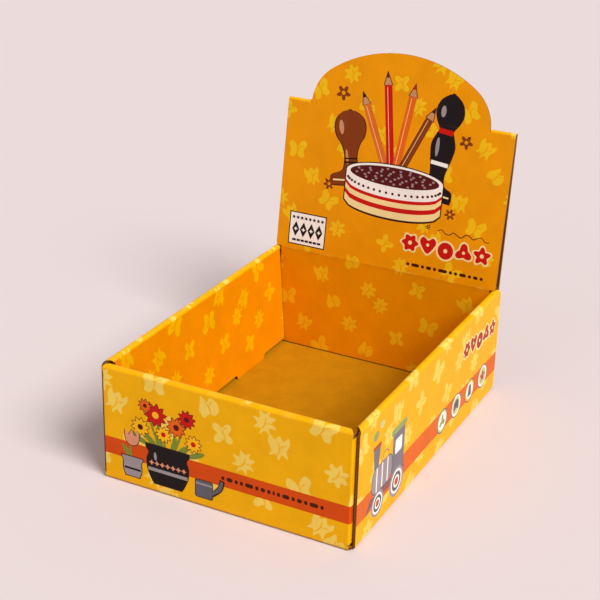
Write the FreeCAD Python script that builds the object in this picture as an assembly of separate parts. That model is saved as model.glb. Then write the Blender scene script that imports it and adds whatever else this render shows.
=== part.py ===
import FreeCAD, Part
import math
import os

os.makedirs("parts", exist_ok=True)

# Counter display carton, folded from one die-cut sheet of thin fluted board.
# Millimetres. X runs left to right, Y runs front to back, Z runs up.
# The origin is the centre of the underside of the base.

# Board and folds
board = 1.6
fold_inside_radius = 0.8
shoulder_inside_radius = 0.3
crease_radius = 4.0
ply_gap = 0.3

# Tray, measured over the outside of the folds
tray_width = 190.0
tray_depth = 256.0
wall_height = 86.0

# Rolled-over top edges: overall thickness across the roll
front_roll = 5.8
side_roll = 5.4
inner_side_lean = 4.2

# Side walls along their length
side_front_setback = 3.5
side_roll_front_setback = 4.5
side_roll_rear_setback = 3.0
side_rear_corner_radius = 3.0
side_relief = 1.0
inner_side_front_setback = 11.5
inner_side_rear_clearance = 0.7
inner_side_lift = 3.6
inner_side_corner_radius = 2.0

# Lock tabs on the inner side plies and their slots in the base
tab_length = 42.5
tab_offset_from_middle = 60.7
tab_tip_height = 0.3
tab_root_radius = 2.5
tab_tip_radius = 1.0
slot_play = 0.4
slot_end_play = 0.6

# Front wall
front_corner_inset = 1.1
front_mitre_inset = 4.7
inner_ply_floor_gap = 0.4

# Corner flaps trapped inside the side walls
flap_bottom_margin = 2.0
flap_top_margin = 2.0
rear_flap_top_margin = 3.6
front_flap_length = 60.0
rear_flap_length = 45.0
flap_corner_cut = 9.0

# Header
shoulder_height = 204.0
header_back_lean = 5.5
header_pocket_depth = 9.0
inner_back_side_gap = 1.0
header_seat_gap = 0.5
header_corner_cut = 1.5

# Arch on the header
arch_half_width = 73.2
arch_rise = 47.0
arch_side_radius = 35.0
arch_cut_width = 0.4

X_AXIS = FreeCAD.Vector(1, 0, 0)
Z_AXIS = FreeCAD.Vector(0, 0, 1)
NO_TURN = FreeCAD.Rotation()

fold_outside_radius = board + fold_inside_radius
half_width = tray_width / 2
half_depth = tray_depth / 2
header_half_width = half_width - board - ply_gap
flap_fold_line = header_half_width - fold_outside_radius
base_fold_half_width = header_half_width - front_corner_inset


# Each panel has its own frame: X along the fold it starts from, Y away from that fold,
# Z from the printed face toward the raw face. The frame's origin lies on the printed face.
def shifted(frame, x, y):
    return frame * FreeCAD.Placement(FreeCAD.Vector(x, y, 0), NO_TURN)


def branched(frame, x, y, degrees):
    spin = FreeCAD.Rotation(Z_AXIS, degrees)
    return frame * FreeCAD.Placement(FreeCAD.Vector(x, y, 0), spin)


def folded(frame, degrees, inside_radius):
    # A fold toward the raw face turns about a line above the raw face.
    centre = FreeCAD.Vector(0, 0, board + inside_radius)
    spin = FreeCAD.Rotation(X_AXIS, degrees)
    return frame * FreeCAD.Placement(centre - spin.multVec(centre), spin)


def folded_back(frame, degrees, inside_radius):
    # A fold toward the printed face turns about a line below the printed face.
    centre = FreeCAD.Vector(0, 0, -inside_radius)
    spin = FreeCAD.Rotation(X_AXIS, -degrees)
    return frame * FreeCAD.Placement(centre - spin.multVec(centre), spin)


def placed(shape, frame):
    copy = shape.copy()
    copy.Placement = frame
    return copy


def fold_strip(frame, x_from, x_to, degrees, inside_radius):
    # The strip of board that the crease bends, as part of a tube wall.
    section = Part.makePlane(x_to - x_from, board, FreeCAD.Vector(x_from, 0, 0),
                             FreeCAD.Vector(0, -1, 0), X_AXIS)
    centre = FreeCAD.Vector(0, 0, board + inside_radius)
    return placed(section.revolve(centre, X_AXIS, degrees), frame)


def back_fold_strip(frame, x_from, x_to, degrees, inside_radius):
    section = Part.makePlane(x_to - x_from, board, FreeCAD.Vector(x_from, 0, 0),
                             FreeCAD.Vector(0, -1, 0), X_AXIS)
    centre = FreeCAD.Vector(0, 0, -inside_radius)
    return placed(section.revolve(centre, -X_AXIS, degrees), frame)


def rounded_wire(corners):
    # Each corner is x, y and a radius; a radius of zero leaves the corner sharp.
    count = len(corners)
    starts = []
    ends = []
    mids = []
    for i in range(count):
        x, y, radius = corners[i]
        here = FreeCAD.Vector(x, y, 0)
        before = FreeCAD.Vector(corners[i - 1][0], corners[i - 1][1], 0)
        after_corner = corners[(i + 1) % count]
        after = FreeCAD.Vector(after_corner[0], after_corner[1], 0)
        back = (before - here).normalize()
        ahead = (after - here).normalize()
        half_angle = back.getAngle(ahead) / 2
        reach = radius / math.tan(half_angle)
        starts.append(here + back * reach)
        ends.append(here + ahead * reach)
        bisector = (back + ahead)
        if radius > 0:
            bisector.normalize()
            mids.append(here + bisector * (radius / math.sin(half_angle) - radius))
        else:
            mids.append(here)
    edges = []
    for i in range(count):
        if corners[i][2] > 0:
            edges.append(Part.Arc(starts[i], mids[i], ends[i]).toShape())
        following = starts[(i + 1) % count]
        if (following - ends[i]).Length > board / 1000:
            edges.append(Part.makeLine(ends[i], following))
    return Part.Wire(edges)


def panel(frame, wire):
    return placed(Part.Face(wire).extrude(Z_AXIS * board), frame)


def rectangle(x_from, x_to, y_from, y_to):
    return rounded_wire([(x_from, y_from, 0), (x_to, y_from, 0), (x_to, y_to, 0), (x_from, y_to, 0)])


def upright_prism(points):
    # A tall block with the given plan, used to trim the ends of a rolled edge.
    corners = [FreeCAD.Vector(x, y, wall_height / 2) for x, y in points]
    return Part.Face(Part.makePolygon(corners + corners[:1])).extrude(Z_AXIS * wall_height)


base_frame = FreeCAD.Placement()
pieces = []

# Back wall and header. The outer ply stands upright behind the tray and leans back above it.
back_edge = half_depth - fold_outside_radius
back_start = shifted(base_frame, 0, back_edge)
pieces.append(fold_strip(back_start, -base_fold_half_width, base_fold_half_width, 90,
                         fold_inside_radius))
back_outer = folded(back_start, 90, fold_inside_radius)
back_upright = wall_height - fold_outside_radius
flap_top = wall_height - 2 * fold_outside_radius
back_flap_low = flap_bottom_margin
back_flap_high = flap_top - rear_flap_top_margin
back_corners = [(base_fold_half_width, 0, 0), (base_fold_half_width, back_flap_low, 0),
                (flap_fold_line, back_flap_low, 0), (flap_fold_line, back_flap_high, 0),
                (header_half_width, back_flap_high, 0), (header_half_width, back_upright, 0)]
back_mirror = [(-x, y, r) for x, y, r in reversed(back_corners)]
pieces.append(panel(back_outer, rounded_wire(back_corners + back_mirror)))

back_bend = shifted(back_outer, 0, back_upright)
pieces.append(back_fold_strip(back_bend, -header_half_width, header_half_width,
                              header_back_lean, crease_radius))
back_leaning = folded_back(back_bend, header_back_lean, crease_radius)
lean_cos = math.cos(math.radians(header_back_lean))
shoulder_outside_radius = board + shoulder_inside_radius
back_leaning_length = (shoulder_height - shoulder_outside_radius - wall_height) / lean_cos

# The arch is cut out of the back ply and stays joined to the front ply of the header.
side_centre = arch_half_width - arch_side_radius
top_radius = ((side_centre ** 2 + arch_rise ** 2 - arch_side_radius ** 2)
              / (2 * (arch_rise - arch_side_radius)))
top_centre = arch_rise - top_radius
join_scale = top_radius / math.hypot(side_centre, top_centre)
join_x = side_centre * join_scale
join_y = top_centre - top_centre * join_scale


def arch_wire(grow):
    # Side arc, top arc and side arc, tangent to each other, closed by a straight foot line.
    # The arch points toward smaller y and can be grown outward for the hole around it.
    radius_side = arch_side_radius + grow
    ratio = radius_side / arch_side_radius
    join = FreeCAD.Vector(side_centre + (join_x - side_centre) * ratio, -join_y * ratio, 0)
    half_sweep = math.atan2(join_y, join_x - side_centre) / 2
    mid = FreeCAD.Vector(side_centre + radius_side * math.cos(half_sweep),
                         -radius_side * math.sin(half_sweep), 0)
    foot = FreeCAD.Vector(side_centre + radius_side, 0, 0)
    crown = FreeCAD.Vector(0, -arch_rise - grow, 0)
    left_join, left_mid, left_foot = [FreeCAD.Vector(-v.x, v.y, 0) for v in (join, mid, foot)]
    return Part.Wire([Part.Arc(left_foot, left_mid, left_join).toShape(),
                      Part.Arc(left_join, crown, join).toShape(),
                      Part.Arc(join, mid, foot).toShape(),
                      Part.makeLine(foot, left_foot)])


header_back_wire = rectangle(-header_half_width, header_half_width, 0, back_leaning_length)
header_back = panel(back_leaning, header_back_wire)
front_lean_extra = math.degrees(math.asin((header_pocket_depth - 2 * shoulder_outside_radius)
                                          / back_leaning_length))
shoulder_turn = 180 - front_lean_extra
shoulder_arc = shoulder_outside_radius * math.radians(shoulder_turn)
hole_frame = shifted(back_leaning, 0, back_leaning_length + shoulder_arc)
header_back = header_back.cut(panel(hole_frame, arch_wire(arch_cut_width)))
pieces.append(header_back)

shoulder = shifted(back_leaning, 0, back_leaning_length)
shoulder_inner_end = arch_half_width + arch_cut_width
for side in (-1, 1):
    ends = sorted((side * shoulder_inner_end, side * header_half_width))
    pieces.append(fold_strip(shoulder, ends[0], ends[1], shoulder_turn, shoulder_inside_radius))

header_front = folded(shoulder, shoulder_turn, shoulder_inside_radius)
front_lean = header_back_lean + front_lean_extra
front_cos = math.cos(math.radians(front_lean))
header_front_length = (header_front.Base.z - wall_height - header_seat_gap) / front_cos
header_corner_start = header_front_length - header_corner_cut
header_cut_half = header_half_width - header_corner_cut
inner_back_half = half_width - side_roll - inner_back_side_gap
header_corners = [(header_cut_half, header_front_length, 0),
                  (header_half_width, header_corner_start, 0), (header_half_width, 0, 0)]
header_mirror = [(-x, y, r) for x, y, r in reversed(header_corners)]
pieces.append(panel(header_front, rounded_wire(header_corners + header_mirror)))
pieces.append(panel(header_front, arch_wire(0)))

crease = shifted(header_front, 0, header_front_length)
pieces.append(fold_strip(crease, -inner_back_half, inner_back_half, front_lean, crease_radius))
inner_back = folded(crease, front_lean, crease_radius)
inner_back_length = inner_back.Base.z - board - inner_ply_floor_gap
pieces.append(panel(inner_back, rectangle(-inner_back_half, inner_back_half, 0, inner_back_length)))
inner_back_face = inner_back.Base.y

# Front wall: outer ply, narrow rolled edge and inner ply.
front_start = branched(base_frame, 0, -back_edge, 180)
pieces.append(fold_strip(front_start, -base_fold_half_width, base_fold_half_width, 90,
                         fold_inside_radius))
front_outer = folded(front_start, 90, fold_inside_radius)
front_flap_low = flap_bottom_margin
front_flap_high = flap_top - flap_top_margin
front_wall_corners = [(base_fold_half_width, 0, 0), (base_fold_half_width, front_flap_low, 0),
                      (flap_fold_line, front_flap_low, 0), (flap_fold_line, front_flap_high, 0),
                      (base_fold_half_width, front_flap_high, 0),
                      (base_fold_half_width, flap_top, 0)]
front_wall_mirror = [(-x, y, r) for x, y, r in reversed(front_wall_corners)]
pieces.append(panel(front_outer, rounded_wire(front_wall_corners + front_wall_mirror)))

front_roll_start = shifted(front_outer, 0, flap_top)
front_spine = folded(front_roll_start, 90, fold_inside_radius)
front_spine_flat = front_roll - 2 * fold_outside_radius
front_drop_start = shifted(front_spine, 0, front_spine_flat)
front_inner = folded(front_drop_start, 90, fold_inside_radius)
roll_parts = [fold_strip(front_roll_start, -base_fold_half_width, base_fold_half_width, 90,
                         fold_inside_radius),
              panel(front_spine, rectangle(-base_fold_half_width, base_fold_half_width,
                                           0, front_spine_flat)),
              fold_strip(front_drop_start, -base_fold_half_width, base_fold_half_width, 90,
                         fold_inside_radius)]
front_inner_half = base_fold_half_width - front_mitre_inset
front_plan = upright_prism([(-base_fold_half_width, -half_depth), (base_fold_half_width, -half_depth),
                            (front_inner_half, front_roll - half_depth),
                            (-front_inner_half, front_roll - half_depth)])
for part in roll_parts:
    pieces.append(part.common(front_plan))
front_inner_length = front_inner.Base.z - board - inner_ply_floor_gap
pieces.append(panel(front_inner, rectangle(-front_inner_half, front_inner_half,
                                           0, front_inner_length)))


# Corner flaps fold round from the front and back outer plies and lie inside the side walls.
def corner_flaps(wall, low, high, length):
    made = []
    for side in (-1, 1):
        start = branched(wall, side * flap_fold_line, 0, -90 * side)
        ends = sorted((-side * low, -side * high))
        made.append(fold_strip(start, ends[0], ends[1], 90, fold_inside_radius))
        leaf = folded(start, 90, fold_inside_radius)
        made.append(panel(leaf, rounded_wire([(ends[0], 0, 0), (ends[1], 0, 0),
                                              (ends[1], length - flap_corner_cut, 0),
                                              (ends[1] - flap_corner_cut, length, 0),
                                              (ends[0] + flap_corner_cut, length, 0),
                                              (ends[0], length - flap_corner_cut, 0)])))
    return made


pieces += corner_flaps(front_outer, front_flap_low, front_flap_high, front_flap_length)
pieces += corner_flaps(back_outer, back_flap_low, back_flap_high, rear_flap_length)

# Right side wall; its frames run from back to front along X.
side_edge = half_width - fold_outside_radius
side_start = branched(base_frame, side_edge, 0, -90)
side_front = half_depth - side_front_setback
side_wall = [fold_strip(side_start, -back_edge, side_front, 90, fold_inside_radius)]
side_outer = folded(side_start, 90, fold_inside_radius)
roll_front = half_depth - side_roll_front_setback
roll_rear = side_roll_rear_setback - half_depth
side_wall.append(panel(side_outer, rounded_wire([
    (-half_depth, 0, 0), (side_front, 0, 0), (side_front, flap_top - side_relief, 0),
    (roll_front, flap_top, 0), (roll_rear, flap_top, 0),
    (-half_depth, flap_top, side_rear_corner_radius)])))

side_roll_start = shifted(side_outer, 0, flap_top)
side_spine = folded(side_roll_start, 90, fold_inside_radius)
side_spine_flat = side_roll - 2 * fold_outside_radius
side_drop_start = shifted(side_spine, 0, side_spine_flat)
side_drop_turn = 90 - inner_side_lean
side_inner = folded(side_drop_start, side_drop_turn, fold_inside_radius)
roll_parts = [fold_strip(side_roll_start, roll_rear, roll_front, 90, fold_inside_radius),
              panel(side_spine, rectangle(roll_rear, roll_front, 0, side_spine_flat)),
              fold_strip(side_drop_start, roll_rear, roll_front, side_drop_turn,
                         fold_inside_radius)]
inner_side_front = half_depth - inner_side_front_setback
inner_side_rear = inner_side_rear_clearance - inner_back_face
roll_inside = half_width - side_roll - board
side_plan = upright_prism([(half_width, -roll_front), (half_width, -roll_rear),
                           (roll_inside, -inner_side_rear), (roll_inside, -inner_side_front)])
for part in roll_parts:
    side_wall.append(part.common(side_plan))

# The inner side ply leans inward and ends above the floor, except at its two lock tabs.
side_cos = math.cos(math.radians(inner_side_lean))
inner_low = (side_inner.Base.z - board - inner_side_lift) / side_cos
tab_reach = (side_inner.Base.z - tab_tip_height) / side_cos
inner_middle = (inner_side_front + inner_side_rear) / 2
half_tab = tab_length / 2
tab_middles = [inner_middle + tab_offset_from_middle, inner_middle - tab_offset_from_middle]
inner_corners = [(inner_side_rear, 0, 0), (inner_side_front, 0, 0),
                 (inner_side_front, inner_low, inner_side_corner_radius)]
for middle in tab_middles:
    inner_corners += [(middle + half_tab, inner_low, tab_root_radius),
                      (middle + half_tab, tab_reach, tab_tip_radius),
                      (middle - half_tab, tab_reach, tab_tip_radius),
                      (middle - half_tab, inner_low, tab_root_radius)]
inner_corners.append((inner_side_rear, inner_low, inner_side_corner_radius))
side_wall.append(panel(side_inner, rounded_wire(inner_corners)))

# The left wall is the mirror image of the right one.
pieces += side_wall
pieces += [part.mirror(FreeCAD.Vector(), X_AXIS) for part in side_wall]

# Base with the slots that take the lock tabs.
base = panel(base_frame, rectangle(-side_edge, side_edge, -back_edge, back_edge))
slot_point = side_inner.multVec(FreeCAD.Vector(0, (side_inner.Base.z - board / 2) / side_cos, board / 2))
slot_half_width = board / side_cos / 2 + slot_play
slot_half_length = half_tab + slot_end_play
for middle in tab_middles:
    for side in (-1, 1):
        centre_x = side * slot_point.x
        slot = rectangle(centre_x - slot_half_width, centre_x + slot_half_width,
                         -middle - slot_half_length, -middle + slot_half_length)
        base = base.cut(panel(base_frame, slot))

carton = base.multiFuse(pieces).removeSplitter()
carton = carton.Solids[0]
carton.exportStep("parts/folded_display_carton.step")
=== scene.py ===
# %% [markdown]
# # A printed display carton, folded from one sheet
# The object is a counter tray with a tall header. The real one is a single die-cut sheet of
# thin fluted board, printed on one face while flat, then folded. This lesson works in the same
# order: draw the flat blank, lay the print on it, cut it, and fold it in the computer.
# The alternative is to model the finished box and project pictures onto it, but then the print
# would slide at every fold. Printing flat keeps each motif whole across the rolled edges.

# %% Load the folded solid as the fixed frame
import math
import bpy
import numpy as np
from mathutils import Matrix, Vector
from mathutils.geometry import delaunay_2d_cdt


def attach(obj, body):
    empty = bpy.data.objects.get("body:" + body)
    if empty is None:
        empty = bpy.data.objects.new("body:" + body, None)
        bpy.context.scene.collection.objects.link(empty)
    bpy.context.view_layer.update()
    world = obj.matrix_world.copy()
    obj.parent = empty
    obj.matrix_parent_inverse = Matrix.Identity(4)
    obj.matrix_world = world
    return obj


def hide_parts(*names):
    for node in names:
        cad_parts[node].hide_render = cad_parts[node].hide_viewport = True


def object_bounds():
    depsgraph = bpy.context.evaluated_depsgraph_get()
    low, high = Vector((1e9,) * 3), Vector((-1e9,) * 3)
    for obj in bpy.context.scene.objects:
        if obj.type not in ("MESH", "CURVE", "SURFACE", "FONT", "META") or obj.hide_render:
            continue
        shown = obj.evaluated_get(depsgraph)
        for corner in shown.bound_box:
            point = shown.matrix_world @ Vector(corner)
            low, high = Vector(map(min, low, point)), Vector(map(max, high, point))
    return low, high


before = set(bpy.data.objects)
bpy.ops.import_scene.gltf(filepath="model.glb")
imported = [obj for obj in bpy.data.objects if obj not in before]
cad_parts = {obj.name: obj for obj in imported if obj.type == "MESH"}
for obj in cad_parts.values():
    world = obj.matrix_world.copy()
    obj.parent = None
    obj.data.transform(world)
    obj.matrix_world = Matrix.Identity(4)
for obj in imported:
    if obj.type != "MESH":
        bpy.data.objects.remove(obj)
cad_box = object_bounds()
CARTON_NODE = "folded_display_carton"
MM = 0.001
print("solid carton box in metres:", [tuple(round(v, 4) for v in corner) for corner in cad_box])

# %% [markdown]
# ## The sizes of the blank
# A box maker draws in millimetres, so the blank is drawn in millimetres too and turned into
# metres only when it is folded. Width and depth come from the solid. The rest are values that
# a die-maker might choose: board thickness, fold radii, roll widths and clearances. Nobody
# measured the real sheet, so they are fitted to the photograph.

# %% Board, folds and panel sizes
board = 1.6
fold_inside = 0.8
shoulder_inside = 0.3
crease_inside = 4.0
fold_outside = board + fold_inside
shoulder_outside = board + shoulder_inside

half_width = (cad_box[1].x - cad_box[0].x) / MM / 2
half_depth = -cad_box[0].y / MM
wall_height = 86.0
front_roll = 5.8
side_roll = 5.4
inner_side_lean = 4.2
side_clearance = 0.3
corner_inset = 1.1
header_half = half_width - board - side_clearance
flap_fold_line = header_half - fold_outside
fold_half = header_half - corner_inset
side_edge = half_width - fold_outside
end_edge = half_depth - fold_outside
wall_flat = wall_height - 2 * fold_outside
print("half width", round(half_width, 2), "half depth", round(half_depth, 2))

# %% [markdown]
# ## Folding by rule
# Every panel gets its own frame: X along the crease, Y away from it, Z from the printed face to
# the bare face. A chain walks outward from the base and keeps a list of flats and folds. To
# place a point of the blank, the chain finds the flat or fold it lies on. On a fold the point
# turns round the crease, measured on the printed face, so the print keeps its length.

# %% A chain of flats and folds
def slid(place, x, y):
    return place @ Matrix.Translation((x, y, 0.0))


def turned(place, angle, centre_height):
    centre = Matrix.Translation((0.0, 0.0, centre_height))
    return place @ centre @ Matrix.Rotation(angle, 4, "X") @ centre.inverted()


HAIR = 1e-6
AT_EDGE = 1e-4
JUST_PAST = 1e-3
NEAR = 0.01


class Chain:
    def __init__(self, start):
        self.end = start
        self.length = 0.0
        self.runs = []

    def flat(self, length):
        self.runs.append((self.length, self.length + length, self.end, 0.0, 0.0))
        self.end = slid(self.end, 0.0, length)
        self.length += length
        return self.length

    def fold(self, degrees, inside, toward_print=False):
        centre = -inside if toward_print else board + inside
        angle = -math.radians(degrees) if toward_print else math.radians(degrees)
        length = abs(centre * angle)
        self.runs.append((self.length, self.length + length, self.end, angle, centre))
        self.end = turned(self.end, angle, centre)
        self.length += length
        return self.length

    def frame_at(self, v):
        run = self.runs[-1]
        for candidate in self.runs:
            if v <= candidate[1] + HAIR:
                run = candidate
                break
        start, stop, place, angle, centre = run
        if angle == 0.0:
            return slid(place, 0.0, v - start)
        share = min(max((v - start) / (stop - start), 0.0), 1.0)
        return turned(place, angle * share, centre)


origin = Matrix.Identity(4)
print("one right-angle fold takes", round(fold_outside * math.pi / 2, 3), "mm of printed face")

# %% [markdown]
# ## The four chains
# The back chain rises from the base, leans back above the tray, turns over at the two
# shoulders and comes down again as the header's face and the inner back ply. The front and
# side chains each make an outer ply, a rolled top and an inner ply. The lengths follow from
# the heights, as they do on the die-maker's drawing.

# %% Back and header
shoulder_height = 204.0
header_back_lean = 5.5
pocket_depth = 9.0
floor_gap = 1.0
seat_gap = 0.5

back = Chain(slid(origin, 0.0, end_edge))
back_wall_low = back.fold(90, fold_inside)
back_wall_high = back.flat(wall_height - fold_outside)
back_lean_low = back.fold(header_back_lean, crease_inside, toward_print=True)
lean_length = ((shoulder_height - shoulder_outside - wall_height)
               / math.cos(math.radians(header_back_lean)))
shoulder_low = back.flat(lean_length)
extra_lean = math.degrees(math.asin((pocket_depth - 2 * shoulder_outside) / lean_length))
header_top = back.fold(180 - extra_lean, shoulder_inside)
front_lean = header_back_lean + extra_lean
header_length = ((back.end.translation.z - wall_height - seat_gap)
                 / math.cos(math.radians(front_lean)))
header_low = back.flat(header_length)
inner_back_top = back.fold(front_lean, crease_inside)
inner_back_low = back.flat(back.end.translation.z - board - floor_gap)
inner_back_face = back.end.translation.y
print("header face leans", round(front_lean, 2), "degrees; inner back ply at y",
      round(inner_back_face, 2))

# %% Front and side walls
front = Chain(slid(origin @ Matrix.Rotation(math.pi, 4, "Z"), 0.0, end_edge))
front_wall_low = front.fold(90, fold_inside)
front_wall_high = front.flat(wall_flat)
front_spine_low = front.fold(90, fold_inside)
front.flat(front_roll - 2 * fold_outside)
front_inner_top = front.fold(90, fold_inside)
front_inner_low = front.flat(front.end.translation.z - board - floor_gap)


def side_chain(side):
    start = origin @ Matrix.Rotation(-side * math.pi / 2, 4, "Z")
    chain = Chain(slid(start, 0.0, side_edge))
    chain.fold(90, fold_inside)
    chain.flat(wall_flat)
    chain.fold(90, fold_inside)
    chain.flat(side_roll - 2 * fold_outside)
    chain.fold(90 - inner_side_lean, fold_inside)
    return chain


right, left = side_chain(1), side_chain(-1)
side_wall_low, side_wall_high, _, _, side_inner_top = [run[1] for run in right.runs]
inner_lean_cos = math.cos(math.radians(inner_side_lean))
inner_ply_gap = 3.6
tab_tip_gap = 0.3
inner_reach = (right.end.translation.z - board - inner_ply_gap) / inner_lean_cos
tab_reach = (right.end.translation.z - tab_tip_gap) / inner_lean_cos
side_inner_low = side_inner_top + inner_reach
side_tab_low = side_inner_top + tab_reach
for chain in (right, left):
    chain.flat(tab_reach)
print("side chain", round(right.length, 1), "mm, back chain", round(back.length, 1), "mm")

# %% [markdown]
# ## Corner flaps
# The front and back outer plies carry a flap at each side. It folds round the corner and lies
# hidden between the side plies, and that is what locks the tray square without glue. Each flap
# is a short chain of its own that starts at the ply's side edge.

# %% Flap chains and their limits
flap_slit = 0.3
flap_margin = 2.0
back_flap_drop = 3.6
front_flap_low = front_wall_low + flap_margin
front_flap_high = front_wall_high - flap_margin
back_flap_low = back_wall_low + flap_margin
back_flap_high = back_wall_low + wall_flat - back_flap_drop
front_flap_length = 60.0
back_flap_length = 45.0


def flap_chain(wall, wall_start, side, fold_line, inside_radius, length):
    place = wall.frame_at(wall_start) @ Matrix.Rotation(-side * math.pi / 2, 4, "Z")
    chain = Chain(slid(place, 0.0, fold_line))
    chain.fold(90, inside_radius)
    chain.flat(length)
    return chain


pressed_radius = 1.2
front_flap_inset = 0.9
front_flap_line = header_half - front_flap_inset - pressed_radius
front_flaps = {side: flap_chain(front, front_wall_low + JUST_PAST, -side, front_flap_line,
                                pressed_radius - board, front_flap_length) for side in (1, -1)}
back_flaps = {side: flap_chain(back, back_wall_low + JUST_PAST, side, flap_fold_line,
                               fold_inside, back_flap_length) for side in (1, -1)}
print("flaps:", len(front_flaps) + len(back_flaps))

# %% [markdown]
# ## The arch
# The arch on top of the header is cut out of the back ply and stays joined to the front ply
# between the two shoulder folds, so it stands up as a single thickness and leaves an
# arch-shaped window behind it. Three tangent arcs give the outline: two tight ones at the
# sides and a wide one over the top.

# %% Arch outline
arch_half = 73.2
arch_rise = 47.0
arch_side_radius = 35.0
arch_cut = 0.4
side_centre = arch_half - arch_side_radius
top_radius = ((side_centre ** 2 + arch_rise ** 2 - arch_side_radius ** 2)
              / (2 * (arch_rise - arch_side_radius)))
top_centre = arch_rise - top_radius
side_sweep = math.atan2(-top_centre, side_centre)
header_top_y = end_edge + header_top


def arch_outline(grow):
    points = []
    side_steps, top_steps = 14, 28
    for i in range(side_steps):
        a = side_sweep * i / side_steps
        points.append((side_centre + (arch_side_radius + grow) * math.cos(a),
                       (arch_side_radius + grow) * math.sin(a)))
    for i in range(top_steps + 1):
        a = side_sweep + (math.pi - 2 * side_sweep) * i / top_steps
        points.append(((top_radius + grow) * math.cos(a),
                       top_centre + (top_radius + grow) * math.sin(a)))
    for i in range(side_steps):
        a = side_sweep * (1 - (i + 1) / side_steps)
        points.append((-side_centre - (arch_side_radius + grow) * math.cos(a),
                       (arch_side_radius + grow) * math.sin(a)))
    return [(x, header_top_y - y) for x, y in points]


def inside_arch(x, y):
    rise = header_top_y - y
    if rise <= 0:
        return False
    reach = arch_cut / 2
    if abs(x) <= side_centre or math.atan2(rise, abs(x) - side_centre) >= side_sweep:
        return math.hypot(x, rise - top_centre) <= top_radius + reach
    return math.hypot(abs(x) - side_centre, rise) <= arch_side_radius + reach


print("top radius", round(top_radius, 1), "side arc sweeps", round(math.degrees(side_sweep), 1))

# %% [markdown]
# ## From blank to space
# One rule places any point of the blank at any depth in the board. The base stays flat, a point
# past its edge goes to that side's chain, and a point past a flap's crease goes to the flap.
# The same rule gives the surface normal, so the rolled edges shade smoothly and the flats stay
# flat. Where the header meets the inner back ply the press leaves a small raised bead.

# %% Place a point of the blank
bead_height = 0.35
bead_half = 1.1


def panel_frame(x, y):
    if abs(y) <= end_edge + AT_EDGE and abs(x) <= side_edge + AT_EDGE:
        return slid(origin, x, y)
    if abs(x) > side_edge and abs(y) <= half_depth + NEAR:
        side = 1 if x > 0 else -1
        chain = right if side > 0 else left
        return slid(chain.frame_at(abs(x) - side_edge), -side * y, 0.0)
    chain, flaps, low, high = ((back, back_flaps, back_flap_low, back_flap_high) if y > 0 else
                               (front, front_flaps, front_flap_low, front_flap_high))
    v = abs(y) - end_edge
    side = 1 if x > 0 else -1
    fold_line = flap_fold_line if y > 0 else front_flap_line
    if abs(x) > fold_line + AT_EDGE and low + flap_slit / 2 < v < high - flap_slit / 2:
        wall_start = back_wall_low if y > 0 else front_wall_low
        return slid(flaps[side].frame_at(abs(x) - fold_line),
                    (wall_start - v) * (side if y > 0 else -side), 0.0)
    u = x if y > 0 else -x
    if y > 0 and inside_arch(x, y):
        front_ply = chain.frame_at(header_top + JUST_PAST)
        return slid(slid(front_ply, 0.0, v - header_top - JUST_PAST), u, 0.0)
    return slid(chain.frame_at(v), u, 0.0)


def bead(y):
    distance = abs(y - end_edge - (header_low + inner_back_top) / 2)
    if distance >= bead_half:
        return 0.0
    return bead_height * (0.5 + 0.5 * math.cos(math.pi * distance / bead_half))


def in_space(x, y, depth):
    place = panel_frame(x, y)
    point = place @ Vector((0.0, 0.0, depth - bead(y)))
    return point * MM, (place.to_3x3() @ Vector((0.0, 0.0, 1.0))).normalized()


for name, spot in (("front top", (0, -end_edge - front_spine_low)),
                   ("arch crown", (0, header_top_y - arch_rise)),
                   ("shoulder", (header_half, end_edge + shoulder_low))):
    print(name, [round(c, 4) for c in in_space(*spot, 0.0)[0]])

# %% [markdown]
# ## The cutting lines
# The blank is a set of panels that share their creases. Each is a closed outline, and the
# slots and the window behind the arch are outlines of what is missing. A folded strip is
# split across into thin lines, because a mesh can only bend where it has edges. The ends of
# the rolled tops are mitred, so their outline is worked out from where the fold puts them.

# %% Panel helpers
panels = []
missing = []
score_lines = []
FOLD_STEP = math.radians(12)


def box_points(x0, x1, y0, y1):
    return [(x0, y0), (x1, y0), (x1, y1), (x0, y1)]


def mirrored(points):
    return [(-x, y) for x, y in reversed(points)]


def both_sides(points):
    panels.append(points)
    panels.append(mirrored(points))


def strip_levels(chain, low, high):
    levels = [low]
    for start, stop, place, angle, centre in chain.runs:
        if start >= high - HAIR or stop <= low + HAIR:
            continue
        steps = max(1, math.ceil(abs(angle) / FOLD_STEP)) if angle else 1
        levels += [start + (stop - start) * (i + 1) / steps for i in range(steps)]
    return levels


print("a right-angle fold gets", math.ceil(math.pi / 2 / FOLD_STEP), "steps")


# %% Rounded corners
def rounded(points, radius, steps=4):
    made = []
    count = len(points)
    for i, (x, y) in enumerate(points):
        r = radius[i] if isinstance(radius, (list, tuple)) else radius
        here = Vector((x, y))
        back_way = (Vector(points[i - 1]) - here).normalized()
        ahead = (Vector(points[(i + 1) % count]) - here).normalized()
        if r <= 0:
            made.append((x, y))
            continue
        half = back_way.angle(ahead) / 2
        reach = r / math.tan(half)
        first, last = here + back_way * reach, here + ahead * reach
        centre = here + (back_way + ahead).normalized() * (r / math.sin(half))
        a0, a1 = (first - centre), (last - centre)
        sweep = a0.angle_signed(a1)
        for k in range(steps + 1):
            spin = Matrix.Rotation(-sweep * k / steps, 2)
            made.append(tuple(centre + spin @ a0))
    return made


print("a rounded square has", len(rounded(box_points(-1, 1, -1, 1), 0.5)), "points")

# %% [markdown]
# ## Base and lock slots
# Each inner side ply ends in two tabs that drop into slots in the base, which is what keeps
# the rolled walls down. A slot is a little longer and wider than its tab, because board that
# is cut to the exact size tears when it is folded.

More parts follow.
